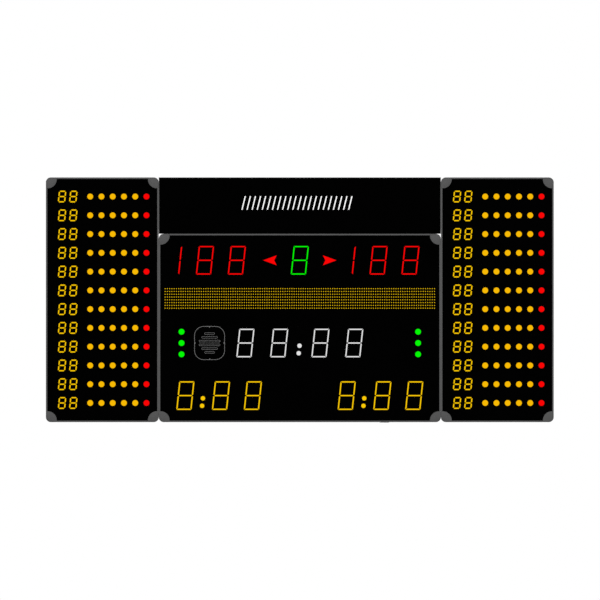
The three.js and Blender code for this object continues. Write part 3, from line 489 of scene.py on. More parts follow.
def finished(name, bm, *materials, body="root", replaces=None, bevel=0, sharp=35):
    """A mesh drawn in millimetres as an object that rides on a CAD body."""
    bmesh.ops.recalc_face_normals(bm, faces=bm.faces)
    bm.transform(Matrix.Scale(MM, 4) @ Matrix.Translation((0, 0, -RAIL_HEIGHT)))
    data = bpy.data.meshes.new(name)
    bm.to_mesh(data)
    bm.free()
    for material in materials:
        data.materials.append(MATERIALS[material])
    data.shade_smooth()
    data.set_sharp_from_angle(angle=radians(sharp))
    piece = linked(name, data)
    if bevel:
        rounding = piece.modifiers.new("edges", "BEVEL")
        rounding.width, rounding.segments = bevel * MM, 2
        rounding.limit_method, rounding.angle_limit = "ANGLE", radians(sharp)
    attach(piece, body)
    if replaces:
        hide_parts(replaces)
    return piece


def meshed(curve):
    """The surface of a curve, as a mesh."""
    holder = linked("drawn", curve)
    bpy.context.view_layer.update()
    data = bpy.data.meshes.new_from_object(holder.evaluated_get(bpy.context.evaluated_depsgraph_get()))
    bpy.data.objects.remove(holder)
    bm = bmesh.new()
    bm.from_mesh(data)
    bpy.data.meshes.remove(data)
    return bm


def pierced(outline, holes, front, back, bevel):
    """A plate with holes and rounded edges, made from a filled curve."""
    curve = bpy.data.curves.new("plate", "CURVE")
    curve.dimensions = "2D"
    curve.fill_mode = "BOTH"
    curve.extrude = (back - front) / 2 - bevel
    curve.bevel_depth = bevel
    curve.bevel_resolution = 1
    curve.offset = -bevel
    for points in [outline, *holes]:
        spline = curve.splines.new("POLY")
        spline.points.add(len(points) - 1)
        spline.use_cyclic_u = True
        for point, (x, z) in zip(spline.points, points):
            point.co = (x, z, 0, 1)
    bm = meshed(curve)
    bmesh.ops.remove_doubles(bm, verts=bm.verts, dist=MM)
    for vert in bm.verts:
        x, z, depth = vert.co
        vert.co = (x, (front + back) / 2 + depth, z)
    return bm


def merge(into, other):
    """Adds all of one mesh to another."""
    data = bpy.data.meshes.new("part")
    other.to_mesh(data)
    other.free()
    into.from_mesh(data)
    bpy.data.meshes.remove(data)


def drawings(count):
    return [bmesh.new() for _ in range(count)]


def board_box(node):
    """A CAD node's box in millimetres, with heights from the underside of the cabinets."""
    low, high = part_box(node)
    return (low.x / MM, high.x / MM, low.y / MM, high.y / MM, low.z / MM + RAIL_HEIGHT, high.z / MM + RAIL_HEIGHT)


def middle(node):
    x0, x1, _, _, z0, z1 = board_box(node)
    return (x0 + x1) / 2, (z0 + z1) / 2


def inside(node, inset=0):
    """The outline of a CAD node's box, drawn in."""
    x0, x1, _, _, z0, z1 = board_box(node)
    return rectangle(x0 + inset, x1 - inset, z0 + inset, z1 - inset)


def keep(node, material):
    """A carried-over CAD node with a finished material."""
    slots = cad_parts[node].data.materials
    slots.clear()
    slots.append(MATERIALS[material])


def evenly(start, end, pitch):
    """Places from start to end, about a pitch apart."""
    count = max(2, round((end - start) / pitch) + 1)
    return [start + (end - start) * i / (count - 1) for i in range(count)]


def screw_head(bm, x, y, z, radius=4.2, height=2.4):
    """A pan head that faces the wall, with a round recess for the driver."""
    stud(bm, [(radius * wide, height * high) for wide, high in SCREW_SHARES], x, z, y, sides=16)


# Corner caps: a quarter disc in front, and a skin round the cabinet's corner
def corner_caps(cabinet):
    width, height, centre = CABINETS[cabinet]
    face_back, reach, wall = LIP_BACK - CAP.gap, CAP.reach, CAP.wall
    disc_middle = reach - CAP.radius
    corner = arc(CORNER_RADIUS, CORNER_RADIUS, CORNER_RADIUS, 180, 270, CAP.corner_steps)
    inner = arc(CORNER_RADIUS, CORNER_RADIUS, CORNER_RADIUS - wall, 270, 180, CAP.corner_steps)
    disc = [(reach, 0), *arc(disc_middle, disc_middle, CAP.radius, 0, 90, CAP.disc_steps), (0, reach), *corner]
    wrap = [(0, reach), *corner, (reach, 0), (reach, wall), *inner, (wall, reach)]
    for name in ("bottom_left", "top_left", "top_right", "bottom_right"):
        side = -1 if name.endswith("left") else 1

        def at_corner(points):
            return [(centre + side * (width / 2 - x), height - z if name.startswith("top") else z) for x, z in points]

        bm = bmesh.new()
        prism(bm, at_corner(disc), FRAME_FRONT, face_back, CAP.chamfer)
        prism(bm, at_corner(wrap), face_back - LAP, FRAME_BACK)
        finished(f"{cabinet}_cap_{name}", bm, "corner_plastic", replaces=f"{cabinet}_corner_cap_{name}", sharp=50)


# Characters: each segment is an outline and whether its diodes run upwards
def mirrored(points, side, level):
    return [(side * x, level * z) for x, z in points]


def big_segments():
    """Long, mitred segments with clipped outer corners."""
    x, z = BIG.width / 2, BIG.height / 2
    stroke, gap, clip = BIG.stroke, BIG.gap, BIG.clip
    half = stroke / 2
    end = x - stroke - gap
    bar = [(-x + gap + clip, z), (x - gap - clip, z), (x - gap - clip / 2, z - clip / 2),
           (end, z - stroke), (-end, z - stroke), (-x + gap + clip / 2, z - clip / 2)]
    upright = [(-x, z - gap - clip), (-x + clip / 2, z - gap - clip / 2), (-x + stroke, z - stroke - gap),
               (-x + stroke, half + gap), (-x + half, gap), (-x, half + gap)]
    middle_bar = [(-end - half, 0), (-end, half), (end, half), (end + half, 0), (end, -half), (-end, -half)]
    uprights = [(mirrored(upright, side, level), True) for level in (1, -1) for side in (1, -1)]
    return [(bar, False), (mirrored(bar, 1, -1), False), *uprights, (middle_bar, False)]


def small_segments():
    """Short segments with pointed ends."""
    half, gap = SMALL.stroke / 2, SMALL.gap
    reach, rise = SMALL.width / 2 - half, SMALL.height / 2 - half

    def pointed(start, end, level):
        return [(start, level), (start + half, level + half), (end - half, level + half), (end, level),
                (end - half, level - half), (start + half, level - half)]

    bars = [(pointed(gap - reach, reach - gap, level), False) for level in (rise, 0, -rise)]
    uprights = [
        ([(x, z) for z, x in pointed(low, high, side * reach)], True)
        for side in (-1, 1)
        for low, high in ((gap, rise - gap), (gap - rise, -gap))
    ]
    return bars + uprights


BIG_EIGHT = big_segments()
BIG_ONE = [
    ([(x - (BIG.width - BIG.stroke) / 2, z) for x, z in outline], upwards)
    for outline, upwards in (BIG_EIGHT[3], BIG_EIGHT[5])
]
SMALL_EIGHT = small_segments()


def place_diodes(bm, faces, to_diode):
    """Where each point of a lens lies among the diodes behind it."""
    layer = bm.loops.layers.uv.verify()
    for face in faces:
        for loop in face.loops:
            loop[layer].uv = to_diode(loop.vert.co.x, loop.vert.co.z)


def raised_lens(bm, outline, axis):
    """A lens that stands from the face; its diodes run along an axis, evenly spaced."""
    faces = prism(bm, outline, LENS_FRONT, LENS_BACK, LENS_BEVEL, index=1)
    faces[-1].material_index = 0
    along = Vector(axis).normalized()
    across = Vector((-along.y, along.x))
    runs, sides = ([direction.dot(Vector(point)) for point in outline] for direction in (along, across))
    length, middle_side = max(runs) - min(runs), sum(sides) / len(sides)
    number = max(1, round(length / LED_PITCH))

    def to_diode(*place):
        run, side = along.dot(Vector(place)) - min(runs), across.dot(Vector(place)) - middle_side
        return run * number / length, 0.5 + side / LED_PITCH

    place_diodes(bm, faces, to_diode)


def figure(bm, x, z, segments):
    """A slanted character."""
    for outline, upwards in segments:
        slanted = [(x + px + SLANT * pz, z + pz) for px, pz in outline]
        raised_lens(bm, slanted, (SLANT, 1) if upwards else (1, 0))


def dome(bm, rings, x, z, sides, pitch):
    """A round lens over the middle of a diode; its side and back glow less."""
    faces = stud(bm, rings, x, z, LENS_BACK, sides)
    for face in faces[:2 * sides] + faces[-1:]:
        face.material_index = 1
    place_diodes(bm, faces, lambda px, pz: (0.5 + (px - x) / pitch, 0.5 + (pz - z) / pitch))


def light(bm, bezels, x, z, radius, sides=40):
    """A shallow dome over a cluster of diodes, in a thin ring that stands a little from the face."""
    dome(bm, [(radius * wide, -LIGHT_RISE * high) for wide, high in LIGHT_SHARES], x, z, sides, LED_PITCH)
    stud(bezels, [(radius + more, distance) for more, distance in BEZEL_RINGS], x, z, SHEET_FRONT, sides)


def lens_piece(name, bm, material):
    piece = finished(name, bm, material, f"{material}_edge")
    piece.data.uv_layers[0].name = "diodes"


# Display modules: the housing's rim stands round its circuit board. The parts on it are rows for parts()
HOUSING = Sizes(rim=4, rim_height=5.5, floor=2, chamfer=0.25, round=0.2)
BOARD = Sizes(inset=7, screw_inset=14, margin=80, pitch=150, capacitor=-28)
BOARD_MATERIALS = ("circuit_board", "black_plastic", "connector", "zinc_steel")
CIRCUIT, BLACK, PALE, STEEL = range(len(BOARD_MATERIALS))
BOARD_PARTS = [(0, 0, 0, 22, 10, 2.4, BLACK), (26.5, 0, 0, 5, 6, 1.6, PALE)]
BOARD_PARTS += [(leg * 2.54 - 9.15, 0, 0, 0.9, 15, 0.9, STEEL) for leg in range(8)]
ROW_PLUG = (-34, 0, 0, 20, 8, 8, PALE)
BOARD_CAPACITOR_RINGS = ((0, 9), (4, 9), (4.6, 8), (4.6, 0))
BOARD_SCREW_RINGS = ((0, 2.2), (2.6, 2), (3.4, 0.8), (3.4, 0))


def module_housing(node, flange, rows=1):
    floor_back = BACKING_BACK + HOUSING.floor
    rim_back = BACKING_BACK + HOUSING.rim_height
    housing = pierced(inside(node), [inside(node, HOUSING.rim)], floor_back - LAP, rim_back, HOUSING.round)
    prism(housing, inside(node, LAP), BACKING_FRONT, floor_back)
    prism(housing, inside(node, flange), SHEET_FRONT, BACKING_FRONT + 1, HOUSING.chamfer, index=1)
    finished(f"{node}_housing", housing, "housing_plastic", "front_sheet", replaces=node)

    x0, x1, _, _, z0, z1 = board_box(node)
    board = bmesh.new()
    prism(board, inside(node, BOARD.inset), floor_back - LAP, BOARD_SURFACE, index=CIRCUIT)
    columns = max(1, int((x1 - x0 - BOARD.margin) / BOARD.pitch))
    for row in range(rows):
        z = z0 + (row + 0.5) * (z1 - z0) / rows
        parts(board, [ROW_PLUG], x1, z, BOARD_SURFACE)
        for place in spread(columns, BOARD.pitch):
            x = (x0 + x1) / 2 + place
            parts(board, BOARD_PARTS, x, z, BOARD_SURFACE)
            stud(board, BOARD_CAPACITOR_RINGS, x + BOARD.capacitor, z, BOARD_SURFACE, sides=16, index=BLACK)
    for x, z in inside(node, BOARD.screw_inset):
        stud(board, BOARD_SCREW_RINGS, x, z, BOARD_SURFACE, sides=16, index=STEEL)
    finished(f"{node}_board", board, *BOARD_MATERIALS)


def player_displays(cabinet):
    width, _, centre = CABINETS[cabinet]
    places = [centre - width / 2 + PLAYERS.x + column * PLAYERS.column_pitch for column in PLAYERS.columns]
    for number, name in enumerate(("lower", "middle", "upper")):
        node = f"{cabinet}_player_module_{name}"
        module_housing(node, PLAYER_FLANGE, PLAYERS.rows)
        figures, fouls, reds, bezels = drawings(4)
        for row in range(PLAYERS.rows):
            z = PLAYERS.z + (number * PLAYERS.rows + row) * PLAYERS.row_pitch
            for x in places[:2]:
                figure(figures, x, z, SMALL_EIGHT)
            for x in places[2:-1]:
                light(fouls, bezels, x, z, LIGHT_RADIUS)
            light(reds, bezels, places[-1], z, LIGHT_RADIUS)
        lens_piece(f"{node}_figures", figures, "lens_yellow")
        lens_piece(f"{node}_foul_lights", fouls, "lens_amber")
        lens_piece(f"{node}_exclusion_lights", reds, "lens_red")
        finished(f"{node}_bezels", bezels, "grille_plastic")


def display(node, name, material, figures=(), lights=(), radius=COLON_RADIUS, start=None):
    """A module with figures and round lights; with a start, their places are from its left edge."""
    module_housing(node, MODULE_FLANGE)
    x, z = middle(node)
    if start:
        x = board_box(node)[0] + start
    lenses, bezels = drawings(2)
    for segments, place in figures:
        figure(lenses, x + place, z, segments)
    for place, rise in lights:
        light(lenses, bezels, x + place, z + rise, radius)
    lens_piece(f"{name}_lenses", lenses, material)
    if lights:
        finished(f"{name}_bezels", bezels, "grille_plastic")


def colon(place):
    return [(place + SLANT * rise, rise) for rise in COLON_RISES]


def period_display():
    module_housing("period_module", MODULE_FLANGE)
    x, z = middle("period_module")
    number, arrows = drawings(2)
    figure(number, x, z, BIG_EIGHT)
    for side in (-1, 1):
        raised_lens(arrows, [(x + side * px, z + pz) for px, pz in ARROW], (1, 0))
    lens_piece("period_lens", number, "lens_green")
    lens_piece("period_arrows", arrows, "lens_red")


def matrix_display():
    module_housing("name_matrix", MODULE_FLANGE)
    x, z = middle("name_matrix")
    dots, ribs = drawings(2)
    rings = [(MATRIX.dot * wide, distance) for wide, distance in DOT_RINGS]
    for pz in spread(MATRIX.rows, MATRIX.row_pitch):
        for px in spread(MATRIX.columns, MATRIX.column_pitch):
            dome(dots, rings, x + px, z + pz, MATRIX.sides, MATRIX.glow_share * MATRIX.dot)
    lens_piece("name_matrix_dots", dots, "lens_dot")
    for pz in spread(MATRIX.rows + 1, MATRIX.row_pitch):
        strip = centred(x, z + pz, MATRIX.columns * MATRIX.column_pitch, 2 * RIB.half)
        prism(ribs, strip, RIB.front, RIB.back, RIB.chamfer)
    finished("name_matrix_ribs", ribs, "grille_plastic")


# Horn grille: rows of slots with pale edges, inside a rounded trim with four ticks. The pale grey of the trim, the
# slots' rims and the ticks is a painted highlight along the grille's edges
HORN = Sizes(width=214, height=236.5, radius=65, edge=3.4, lap=1.2, tick=9, flange=8, driver=2.3)
HORN_SLOT = Sizes(length=151, height=14.4, edge=2.2, pitch=26.6)
HORN_SLOT_SHARES = (0.48, 0.75, 1, 1, 0.75, 0.48)
HORN_CLOTH = {"width": 164, "height": 168, "radius": 30}
HORN_PLATE = {"front": SHEET_FRONT, "back": BACKING_FRONT + 1, "bevel": 0.4}
HORN_FLANGE = {"front": BACKING_FRONT, "back": BACKING_FRONT + 2, "bevel": 0.3}
HORN_HIGHLIGHT_TRIM = {"front": SHEET_FRONT - 1, "back": SHEET_FRONT - 0.02, "bevel": 0.3}
HORN_SLOT_HIGHLIGHT_TRIM = {"front": SHEET_FRONT - 1.2, "back": SHEET_FRONT + 0.2, "bevel": 0.4}
HORN_HIGHLIGHT_TICK = {"front": SHEET_FRONT - 1, "back": SHEET_FRONT + 0.2, "chamfer": 0.2}


def stadium(x, z, length, height):
    reach, end = (length - height) / 2, height / 2
    return arc(x + reach, z, end, -90, 90, steps=12) + arc(x - reach, z, end, 90, 270, steps=12)


def horn():
    x, z = middle("horn_grille")

    def outline(inset):
        return rounded(x, z, HORN.width - 2 * inset, HORN.height - 2 * inset, HORN.radius - inset, steps=16)

    heights = spread(len(HORN_SLOT_SHARES), HORN_SLOT.pitch)
    slots = [(z + rise, HORN_SLOT.length * share) for rise, share in zip(heights, HORN_SLOT_SHARES)]
    edge, height = HORN_SLOT.edge, HORN_SLOT.height
    openings = [stadium(x, pz, length - 2 * edge, height - 2 * edge) for pz, length in slots]
    plate = pierced(outline(0), openings, **HORN_PLATE)
    merge(plate, pierced(outline(-HORN.flange), openings, **HORN_FLANGE))
    finished("horn_grille_plate", plate, "grille_plastic", replaces="horn_grille")

    # The trim, the slots' rims and the ticks are pale grey: a painted highlight along the grille's edges
    inset, tick = HORN.edge - HORN.lap, HORN.tick
    highlight_trim = pierced(outline(-HORN.lap), [outline(inset)], **HORN_HIGHLIGHT_TRIM)
    for (pz, length), opening in zip(slots, openings):
        merge(highlight_trim, pierced(stadium(x, pz, length, height), [opening], **HORN_SLOT_HIGHLIGHT_TRIM))
    for across, up in ((0, -1), (0, 1), (-1, 0), (1, 0)):
        far = (HORN.width if across else HORN.height) / 2 - inset
        mark = [(x + across * far + side * up, z + up * far + side * across) for side in (-tick / 2, tick / 2)]
        mark.append((x + across * (far - tick), z + up * (far - tick)))
        prism(highlight_trim, mark, **HORN_HIGHLIGHT_TICK)
    finished("horn_grille_highlight_trim", highlight_trim, "grille_edge_highlight")

    cloth = bmesh.new()
    prism(cloth, rounded(x, z, **HORN_CLOTH), front=BACKING_FRONT + 2, back=BACKING_FRONT + 2.2)
    finished("horn_cloth", cloth, "grille_cloth")


# Horn driver: radius of each ring and its distance behind the basket's flange, and rows for parts()
BASKET_RINGS = (
    (14.9, 34), (36, 34), (76, 6), (76, 0.6), (76.6, 0), (87, 0), (88, 1), (88, 5), (87, 6), (80, 6), (56, 24),
    (40, 38), (14.9, 38), (14.9, 34),
)
MAGNET_RINGS = ((0, 40), (14.9, 38.2), (38.5, 38.2), (40, 39.5), (40, 60.5), (38.5, 62), (8, 62), (7, 60), (0, 60))
POLE_RINGS = ((0, 30), (10.6, 30), (11.6, 31), (11.6, 50))
CONE_RINGS = (
    (0, 18), (8, 19.2), (14, 22.4), (16, 23), (40, 14.8), (64, 4.6), (67, 3), (70, 2.6), (72.5, 3.4), (72.5, 4.6),
    (67, 4.4), (40, 16.3), (13.4, 26), (13.4, 44.5), (12, 44.5), (12, 24.5), (0, 19.4),
)
FLANGE_SCREWS = 8
FLANGE_SCREW_CIRCLE = 82
FLANGE_SCREW_RINGS = ((0, 8.4), (2.4, 8.2), (3.4, 7), (3.4, 6))
HORN_TERMINALS = [(side * 30, -47, 43, 6.4, 18, 0.8, 3) for side in (-1, 1)]
HORN_TERMINALS.append((0, -41, 39.5, 74, 12, 3.5, 4))


def horn_driver():
    x, z = middle("horn_driver")
    front = BACKING_FRONT + HORN.driver
    driver, cone = drawings(2)
    for rings, sides, index in ((BASKET_RINGS, 64, 0), (MAGNET_RINGS, 64, 1), (POLE_RINGS, 40, 0)):
        stud(driver, rings, x, z, front, sides, index)
    for i in range(FLANGE_SCREWS):
        angle = (i + 0.5) * 2 * pi / FLANGE_SCREWS
        place = x + FLANGE_SCREW_CIRCLE * cos(angle), z + FLANGE_SCREW_CIRCLE * sin(angle)
        stud(driver, FLANGE_SCREW_RINGS, *place, front, sides=12, index=2)
    parts(driver, HORN_TERMINALS, x, z, front)
    finished("horn_driver_body", driver, "horn_steel", "magnet", "zinc_steel", "brass", "black_plastic",
             replaces="horn_driver")
    stud(cone, CONE_RINGS, x, z, front, sides=64)
    finished("horn_cone_paper", cone, "horn_paper", body="horn_cone", replaces="horn_cone")


# Advert panel: a black face with a generic row of slanted bars
ADVERT = Sizes(edge=3, lower_edge=0.2)
ADVERT_PLANES = {"front": FRAME_FRONT - 0.35, "back": FRAME_FRONT - 0.02, "chamfer": 0.15}
BAR_PLANES = {"front": FRAME_FRONT - 0.55, "back": FRAME_FRONT - 0.3, "chamfer": 0.08}
BAR = Sizes(count=22, pitch=36, stroke=8, height=96, x=-20, z=1554, slant=0.25)


def advert():
    x0, x1, _, _, z0, z1 = board_box("advert_panel")
    keep("advert_panel", "frame_paint")
    face, bars = drawings(2)
    outline = rectangle(x0 + ADVERT.edge, x1 - ADVERT.edge, z0 + ADVERT.lower_edge, z1 - ADVERT.edge)
    prism(face, outline, **ADVERT_PLANES)
    finished("advert_face", face, "advert_face")
    upright = centred(0, 0, BAR.stroke, BAR.height)
    for place in spread(BAR.count, BAR.pitch):
        leaning = [(BAR.x + place + x + BAR.slant * z, BAR.z + z) for x, z in upright]
        prism(bars, leaning, **BAR_PLANES)
    finished("advert_bars", bars, "advert_film")


def joint_strips():
    """Black foam strips that close the joints between the cabinets."""
    strips = bmesh.new()
    front, back = FRAME_FRONT + 2, FRAME_FRONT + 12
    width, height, _ = CABINETS["centre"]
    side_height = CABINETS["left"][1]
    for side in (-1, 1):
        low, high = sorted((side * width / 2, side * (width / 2 + JOINT)))
        for start, end in ((0, height), (height, side_height)):
            prism(strips, rectangle(low, high, start + CORNER_RADIUS, end - CORNER_RADIUS), front, back)
    reach = width / 2 - CORNER_RADIUS
    prism(strips, rectangle(-reach, reach, height, height + JOINT), front, back)
    finished("joint_strips", strips, "seal_rubber")


# Service doors and what is fixed round them: half the opening, and the place of the hanger's legs and bolts
SIDE_DOOR = {"half": 280, "leg": 335, "leg_top": 1231.3, "bolts": (215, 560, 1095)}
DOORS = {
    "left": Sizes(latches=["left_door_latch"], **SIDE_DOOR),
    "right": Sizes(latches=["right_door_latch"], **SIDE_DOOR),
    "centre": Sizes(latches=["centre_door_latch_lower", "centre_door_latch_upper"], half=465, leg=630, leg_top=1695,
                    bolts=(215, 560, 1095, 1280, 1380, 1660)),
}
DOOR_BOTTOM = 260
DOOR_TOP = 1050
HINGE_BOTTOMS = (360, 900)
HINGE_AXIS = (-7.5, -28.3)  # X from the door's edge, and Y
HINGE_LENGTH = 25
HINGE_GAP = 0.3
COVER_BARREL_RINGS = ((0, -0.6), (5, -0.6), (6.1, 0.6), (6.1, 24.4), (5.6, 25), (3.2, 25))
DOOR_BARREL_RINGS = ((3.7, 0), (5.6, 0), (6.1, 0.6), (6.1, 24.4), (5.6, 25), (3.7, 25))
HINGE_SCREW = Sizes(x=-10.5, y=6, rises=(6, 19), radius=2.4, height=1.2)
LEAF = Sizes(start=-2, end=26, margin=1, clip=3, thickness=1.2)
LEAF_SCREW = Sizes(x=15, rises=(6.5, 18.5), radius=2.6, height=1.2)
LATCH_HEAD = 12
SEAL = Sizes(inset=9, width=6, depth=5, gap=0.05, chamfer=1.2, latch_room=12)
COVER_SCREW = Sizes(inset=12, margin=60, pitch=150)
LEG = Sizes(half_room=26, bottom=120)


def opening_seal(cabinet):
    """A rubber strip round the opening, inside the cover, cut away where the latches turn."""
    centre = CABINETS[cabinet][2]
    width, room, inset = SEAL.width, SEAL.latch_room, SEAL.inset
    reach, low, high = DOORS[cabinet].half - inset, DOOR_BOTTOM + inset, DOOR_TOP - inset
    outer = reach - LAP
    strips = [
        rectangle(centre - reach, centre + reach, low, low + width),
        rectangle(centre - reach, centre + reach, high - width, high),
        rectangle(centre - outer, centre - reach + width, low + width / 2, high - width / 2),
    ]
    turning = [board_box(node)[4] + LATCH_HEAD for node in DOORS[cabinet].latches]
    starts = [low + width / 2] + [z + room for z in turning]
    ends = [z - room for z in turning] + [high - width / 2]
    strips += [rectangle(centre + reach - width, centre + outer, start, end) for start, end in zip(starts, ends)]
    seal = bmesh.new()
    for strip in strips:
        prism(seal, strip, COVER_FRONT - SEAL.depth, COVER_FRONT - SEAL.gap, SEAL.chamfer)
    finished(f"{cabinet}_opening_seal", seal, "seal_rubber")


def barrel(bm, rings, x, low):
    """A hinge barrel about its upright axis."""
    def to_place(radius, angle, z):
        return x + radius * cos(angle), HINGE_AXIS[1] + radius * sin(angle), low + z

    turned(bm, rings, to_place, sides=32)


def rear_cover(cabinet):
    """Screws round the cover, the opening's seal and the hinge barrels."""
    width, height, centre = CABINETS[cabinet]
    leg, leg_top = DOORS[cabinet].leg, DOORS[cabinet].leg_top
    keep(f"{cabinet}_rear_cover", "cover_sheet")
    inset, margin, pitch = COVER_SCREW.inset, COVER_SCREW.margin, COVER_SCREW.pitch
    rows = [(x, z) for x in evenly(-width / 2 + margin, width / 2 - margin, pitch) for z in (inset, height - inset)]
    columns = [(side * (width / 2 - inset), z) for z in evenly(margin, height - margin, pitch) for side in (-1, 1)]
    screws, barrels = drawings(2)
    for x, z in rows + columns:
        behind_leg = abs(abs(x) - leg) < LEG.half_room and LEG.bottom < z < leg_top
        if not behind_leg:
            screw_head(screws, centre + x, COVER_BACK, z)
    finished(f"{cabinet}_cover_screws", screws, "zinc_steel")
    opening_seal(cabinet)
    axis, screw = centre - DOORS[cabinet].half + HINGE_AXIS[0], HINGE_SCREW
    for bottom in HINGE_BOTTOMS:
        barrel(barrels, COVER_BARREL_RINGS, axis, bottom)
        for rise in screw.rises:
            screw_head(barrels, axis + screw.x, COVER_BACK + screw.y, bottom + rise, screw.radius, screw.height)
    finished(f"{cabinet}_hinge_barrels", barrels, "zinc_steel")


DOOR_MIDDLE = (DOOR_BOTTOM + DOOR_TOP) / 2
PANEL = Sizes(x=-5, margin=100, height=490, radius=18)
PANEL_BEAD = ((0, -0.5), (0, 0), (2.5, 0.95), (3.5, 1.1), (9, 1.1), (10, 0.95), (12.5, 0.05))
LOUVRE = Sizes(first=335, count=4, pitch=16, half=104, drop=7, depth=2.6, sheet=0.8,
               shift=4.5, end=5, end_share=0.1, steps=6, gap_drop=1.3, gap_depth=0.12)
# The near-black patch under each louvre hood is painted shade where the vent's opening would look dark
LOUVRE_GAP_SHADE = {"width": 198, "height": 7.8, "radius": 2.4, "steps": 4}


def louvre(bm, x, z):
    """A pressed hood over a vent, open below, that faces the wall."""
    drop, depth, sheet, half, end = LOUVRE.drop, LOUVRE.depth, LOUVRE.sheet, LOUVRE.half, LOUVRE.end
    angles = [radians(90 * i / LOUVRE.steps) for i in range(LOUVRE.steps + 1)]
    base = z + LOUVRE.shift - drop

    def curve(inset):
        return [(base + (drop - inset) * cos(angle), (depth - inset) * sin(angle)) for angle in angles]

    section = curve(0) + curve(sheet)[::-1]
    places = ((-half, LOUVRE.end_share), (end - half, 1), (half - end, 1), (half, LOUVRE.end_share))
    skin(bm, [[(x + px, DOOR_BACK + rise * share, height) for height, rise in section] for px, share in places])


def service_door(cabinet):
    """Pressed panel, louvres and hinge fittings that swing with the door."""
    centre, half, body = CABINETS[cabinet][2], DOORS[cabinet].half, f"{cabinet}_door"
    keep(f"{cabinet}_service_door", "door_paint")
    pressing, gap_shades, fittings = drawings(3)
    panel = rounded(centre + PANEL.x, DOOR_MIDDLE, 2 * half - PANEL.margin, PANEL.height, PANEL.radius)
    skin(pressing, [[(x, DOOR_BACK + rise, z) for x, z in drawn_in(panel, inset)] for inset, rise in PANEL_BEAD])
    # Under each hood a thin near-black sheet lies on the door: painted shade for the dark vent opening, as the door
    # sheet has no holes
    for i in range(LOUVRE.count):
        for side in (-1, 1):
            z = DOOR_MIDDLE + side * (LOUVRE.first - i * LOUVRE.pitch)
            louvre(pressing, centre, z)
            prism(gap_shades, rounded(centre, z - LOUVRE.gap_drop, **LOUVRE_GAP_SHADE), DOOR_BACK, DOOR_BACK + LOUVRE.gap_depth)
    finished(f"{cabinet}_door_pressing", pressing, "door_paint", body=body)
    finished(f"{cabinet}_door_gap_shades", gap_shades, "slot_shadow", body=body)

    edge = centre - half
    axis, end, face = edge + HINGE_AXIS[0], edge + LEAF.end, DOOR_BACK + LEAF.thickness
    start, clip, screw = axis + LEAF.start, LEAF.clip, LEAF_SCREW
    for bottom in HINGE_BOTTOMS:
        low = bottom + HINGE_LENGTH + HINGE_GAP
        barrel(fittings, DOOR_BARREL_RINGS, axis, low)
        z0, z1 = low + LEAF.margin, low + HINGE_LENGTH - LEAF.margin
        leaf = [(start, z0), (end - clip, z0), (end, z0 + clip), (end, z1 - clip), (end - clip, z1), (start, z1)]
        prism(fittings, leaf, DOOR_BACK, face)
        for rise in screw.rises:
            screw_head(fittings, edge + screw.x, face, low + rise, screw.radius, screw.height)
    finished(f"{cabinet}_door_fittings", fittings, "zinc_steel", body=body)


# Quarter-turn latch: the head stands behind the door, and the shaft and nut are from the cover's front
LATCH_HEAD_RINGS = ((0, 0), (11, 0), (12, 0.9), (12, 3.4), (11, 4.8), (9.4, 5), (8.6, 4.3), (0, 4.1))
LATCH_SHAFT_RINGS = ((0, -3.3), (5, -3.3), (5, 3.6))
LATCH_NUT_RINGS = ((0, -5.6), (4, -5.4), (6, -4.2), (6, -3.3))
LATCH_GRIP = {"width": 6, "height": 20, "radius": 2.6, "steps": 6}
LATCH = Sizes(gap=0.3, grip_start=4, grip_end=10, cam_half=7, cam_reach=31, cam_front=-3.3, cam_back=-0.3)


def latch(body, node):
    x, z = middle(node)[0], board_box(node)[4] + LATCH_HEAD
    head, half = DOOR_BACK + LATCH.gap, LATCH.cam_half
    bm = bmesh.new()
    stud(bm, LATCH_HEAD_RINGS, x, z, head)
    prism(bm, rounded(x, z, **LATCH_GRIP), head + LATCH.grip_start, head + LATCH.grip_end)
    stud(bm, LATCH_SHAFT_RINGS, x, z, COVER_FRONT, sides=32)
    stud(bm, LATCH_NUT_RINGS, x, z, COVER_FRONT, sides=6)
    cam = [(x - half, z - half), (x + half, z - half), *arc(x, z + LATCH.cam_reach, half, 0, 180, steps=10)]
    prism(bm, cam, COVER_FRONT + LATCH.cam_front, COVER_FRONT + LATCH.cam_back)
    finished(f"{node}_knob", bm, "black_plastic", body=body, replaces=node, bevel=0.3)


# Hanging: bolts through the hangers' legs, and anchors through the rails' slots
WASHER_RINGS = ((9, 0), (9, 1.4), (8.5, 1.8), (7.8, 1.8))
BOLT_HEAD_RADIUS = 13 / sqrt(3)
BOLT_HEAD_SHARES = ((1, 1.8), (1, 6.305), (0.82, 7.1))
RAILS = {"upper": RAIL_HEIGHT, "lower": 150}
ANCHOR_PLACES = (-1466.9, -880.2, -293.4, 293.4, 880.2, 1466.9)
ANCHOR_WASHER_RINGS = ((12, -3.05), (12, -4.6), (11.4, -5.2), (6.5, -5.2))
ANCHOR_NUT = Sizes(radius=8.6, front=-11, back=-5.1, chamfer=1)
ANCHOR_END_RINGS = ((4, -10.9), (4, -14.6), (3.2, -15.4), (0, -15.4))


def hanger_bolts(cabinet):
    centre, leg = CABINETS[cabinet][2], DOORS[cabinet].leg
    keep(f"{cabinet}_hanger", "zinc_steel")
    bolts = bmesh.new()
    head = [(BOLT_HEAD_RADIUS * wide, distance) for wide, distance in BOLT_HEAD_SHARES]
    for x in (centre - leg, centre + leg):
        for z in DOORS[cabinet].bolts:
            stud(bolts, WASHER_RINGS, x, z, HANGER_BACK, sides=24)
            stud(bolts, head, x, z, HANGER_BACK, sides=6)
    finished(f"{cabinet}_hanger_bolts", bolts, "zinc_steel")


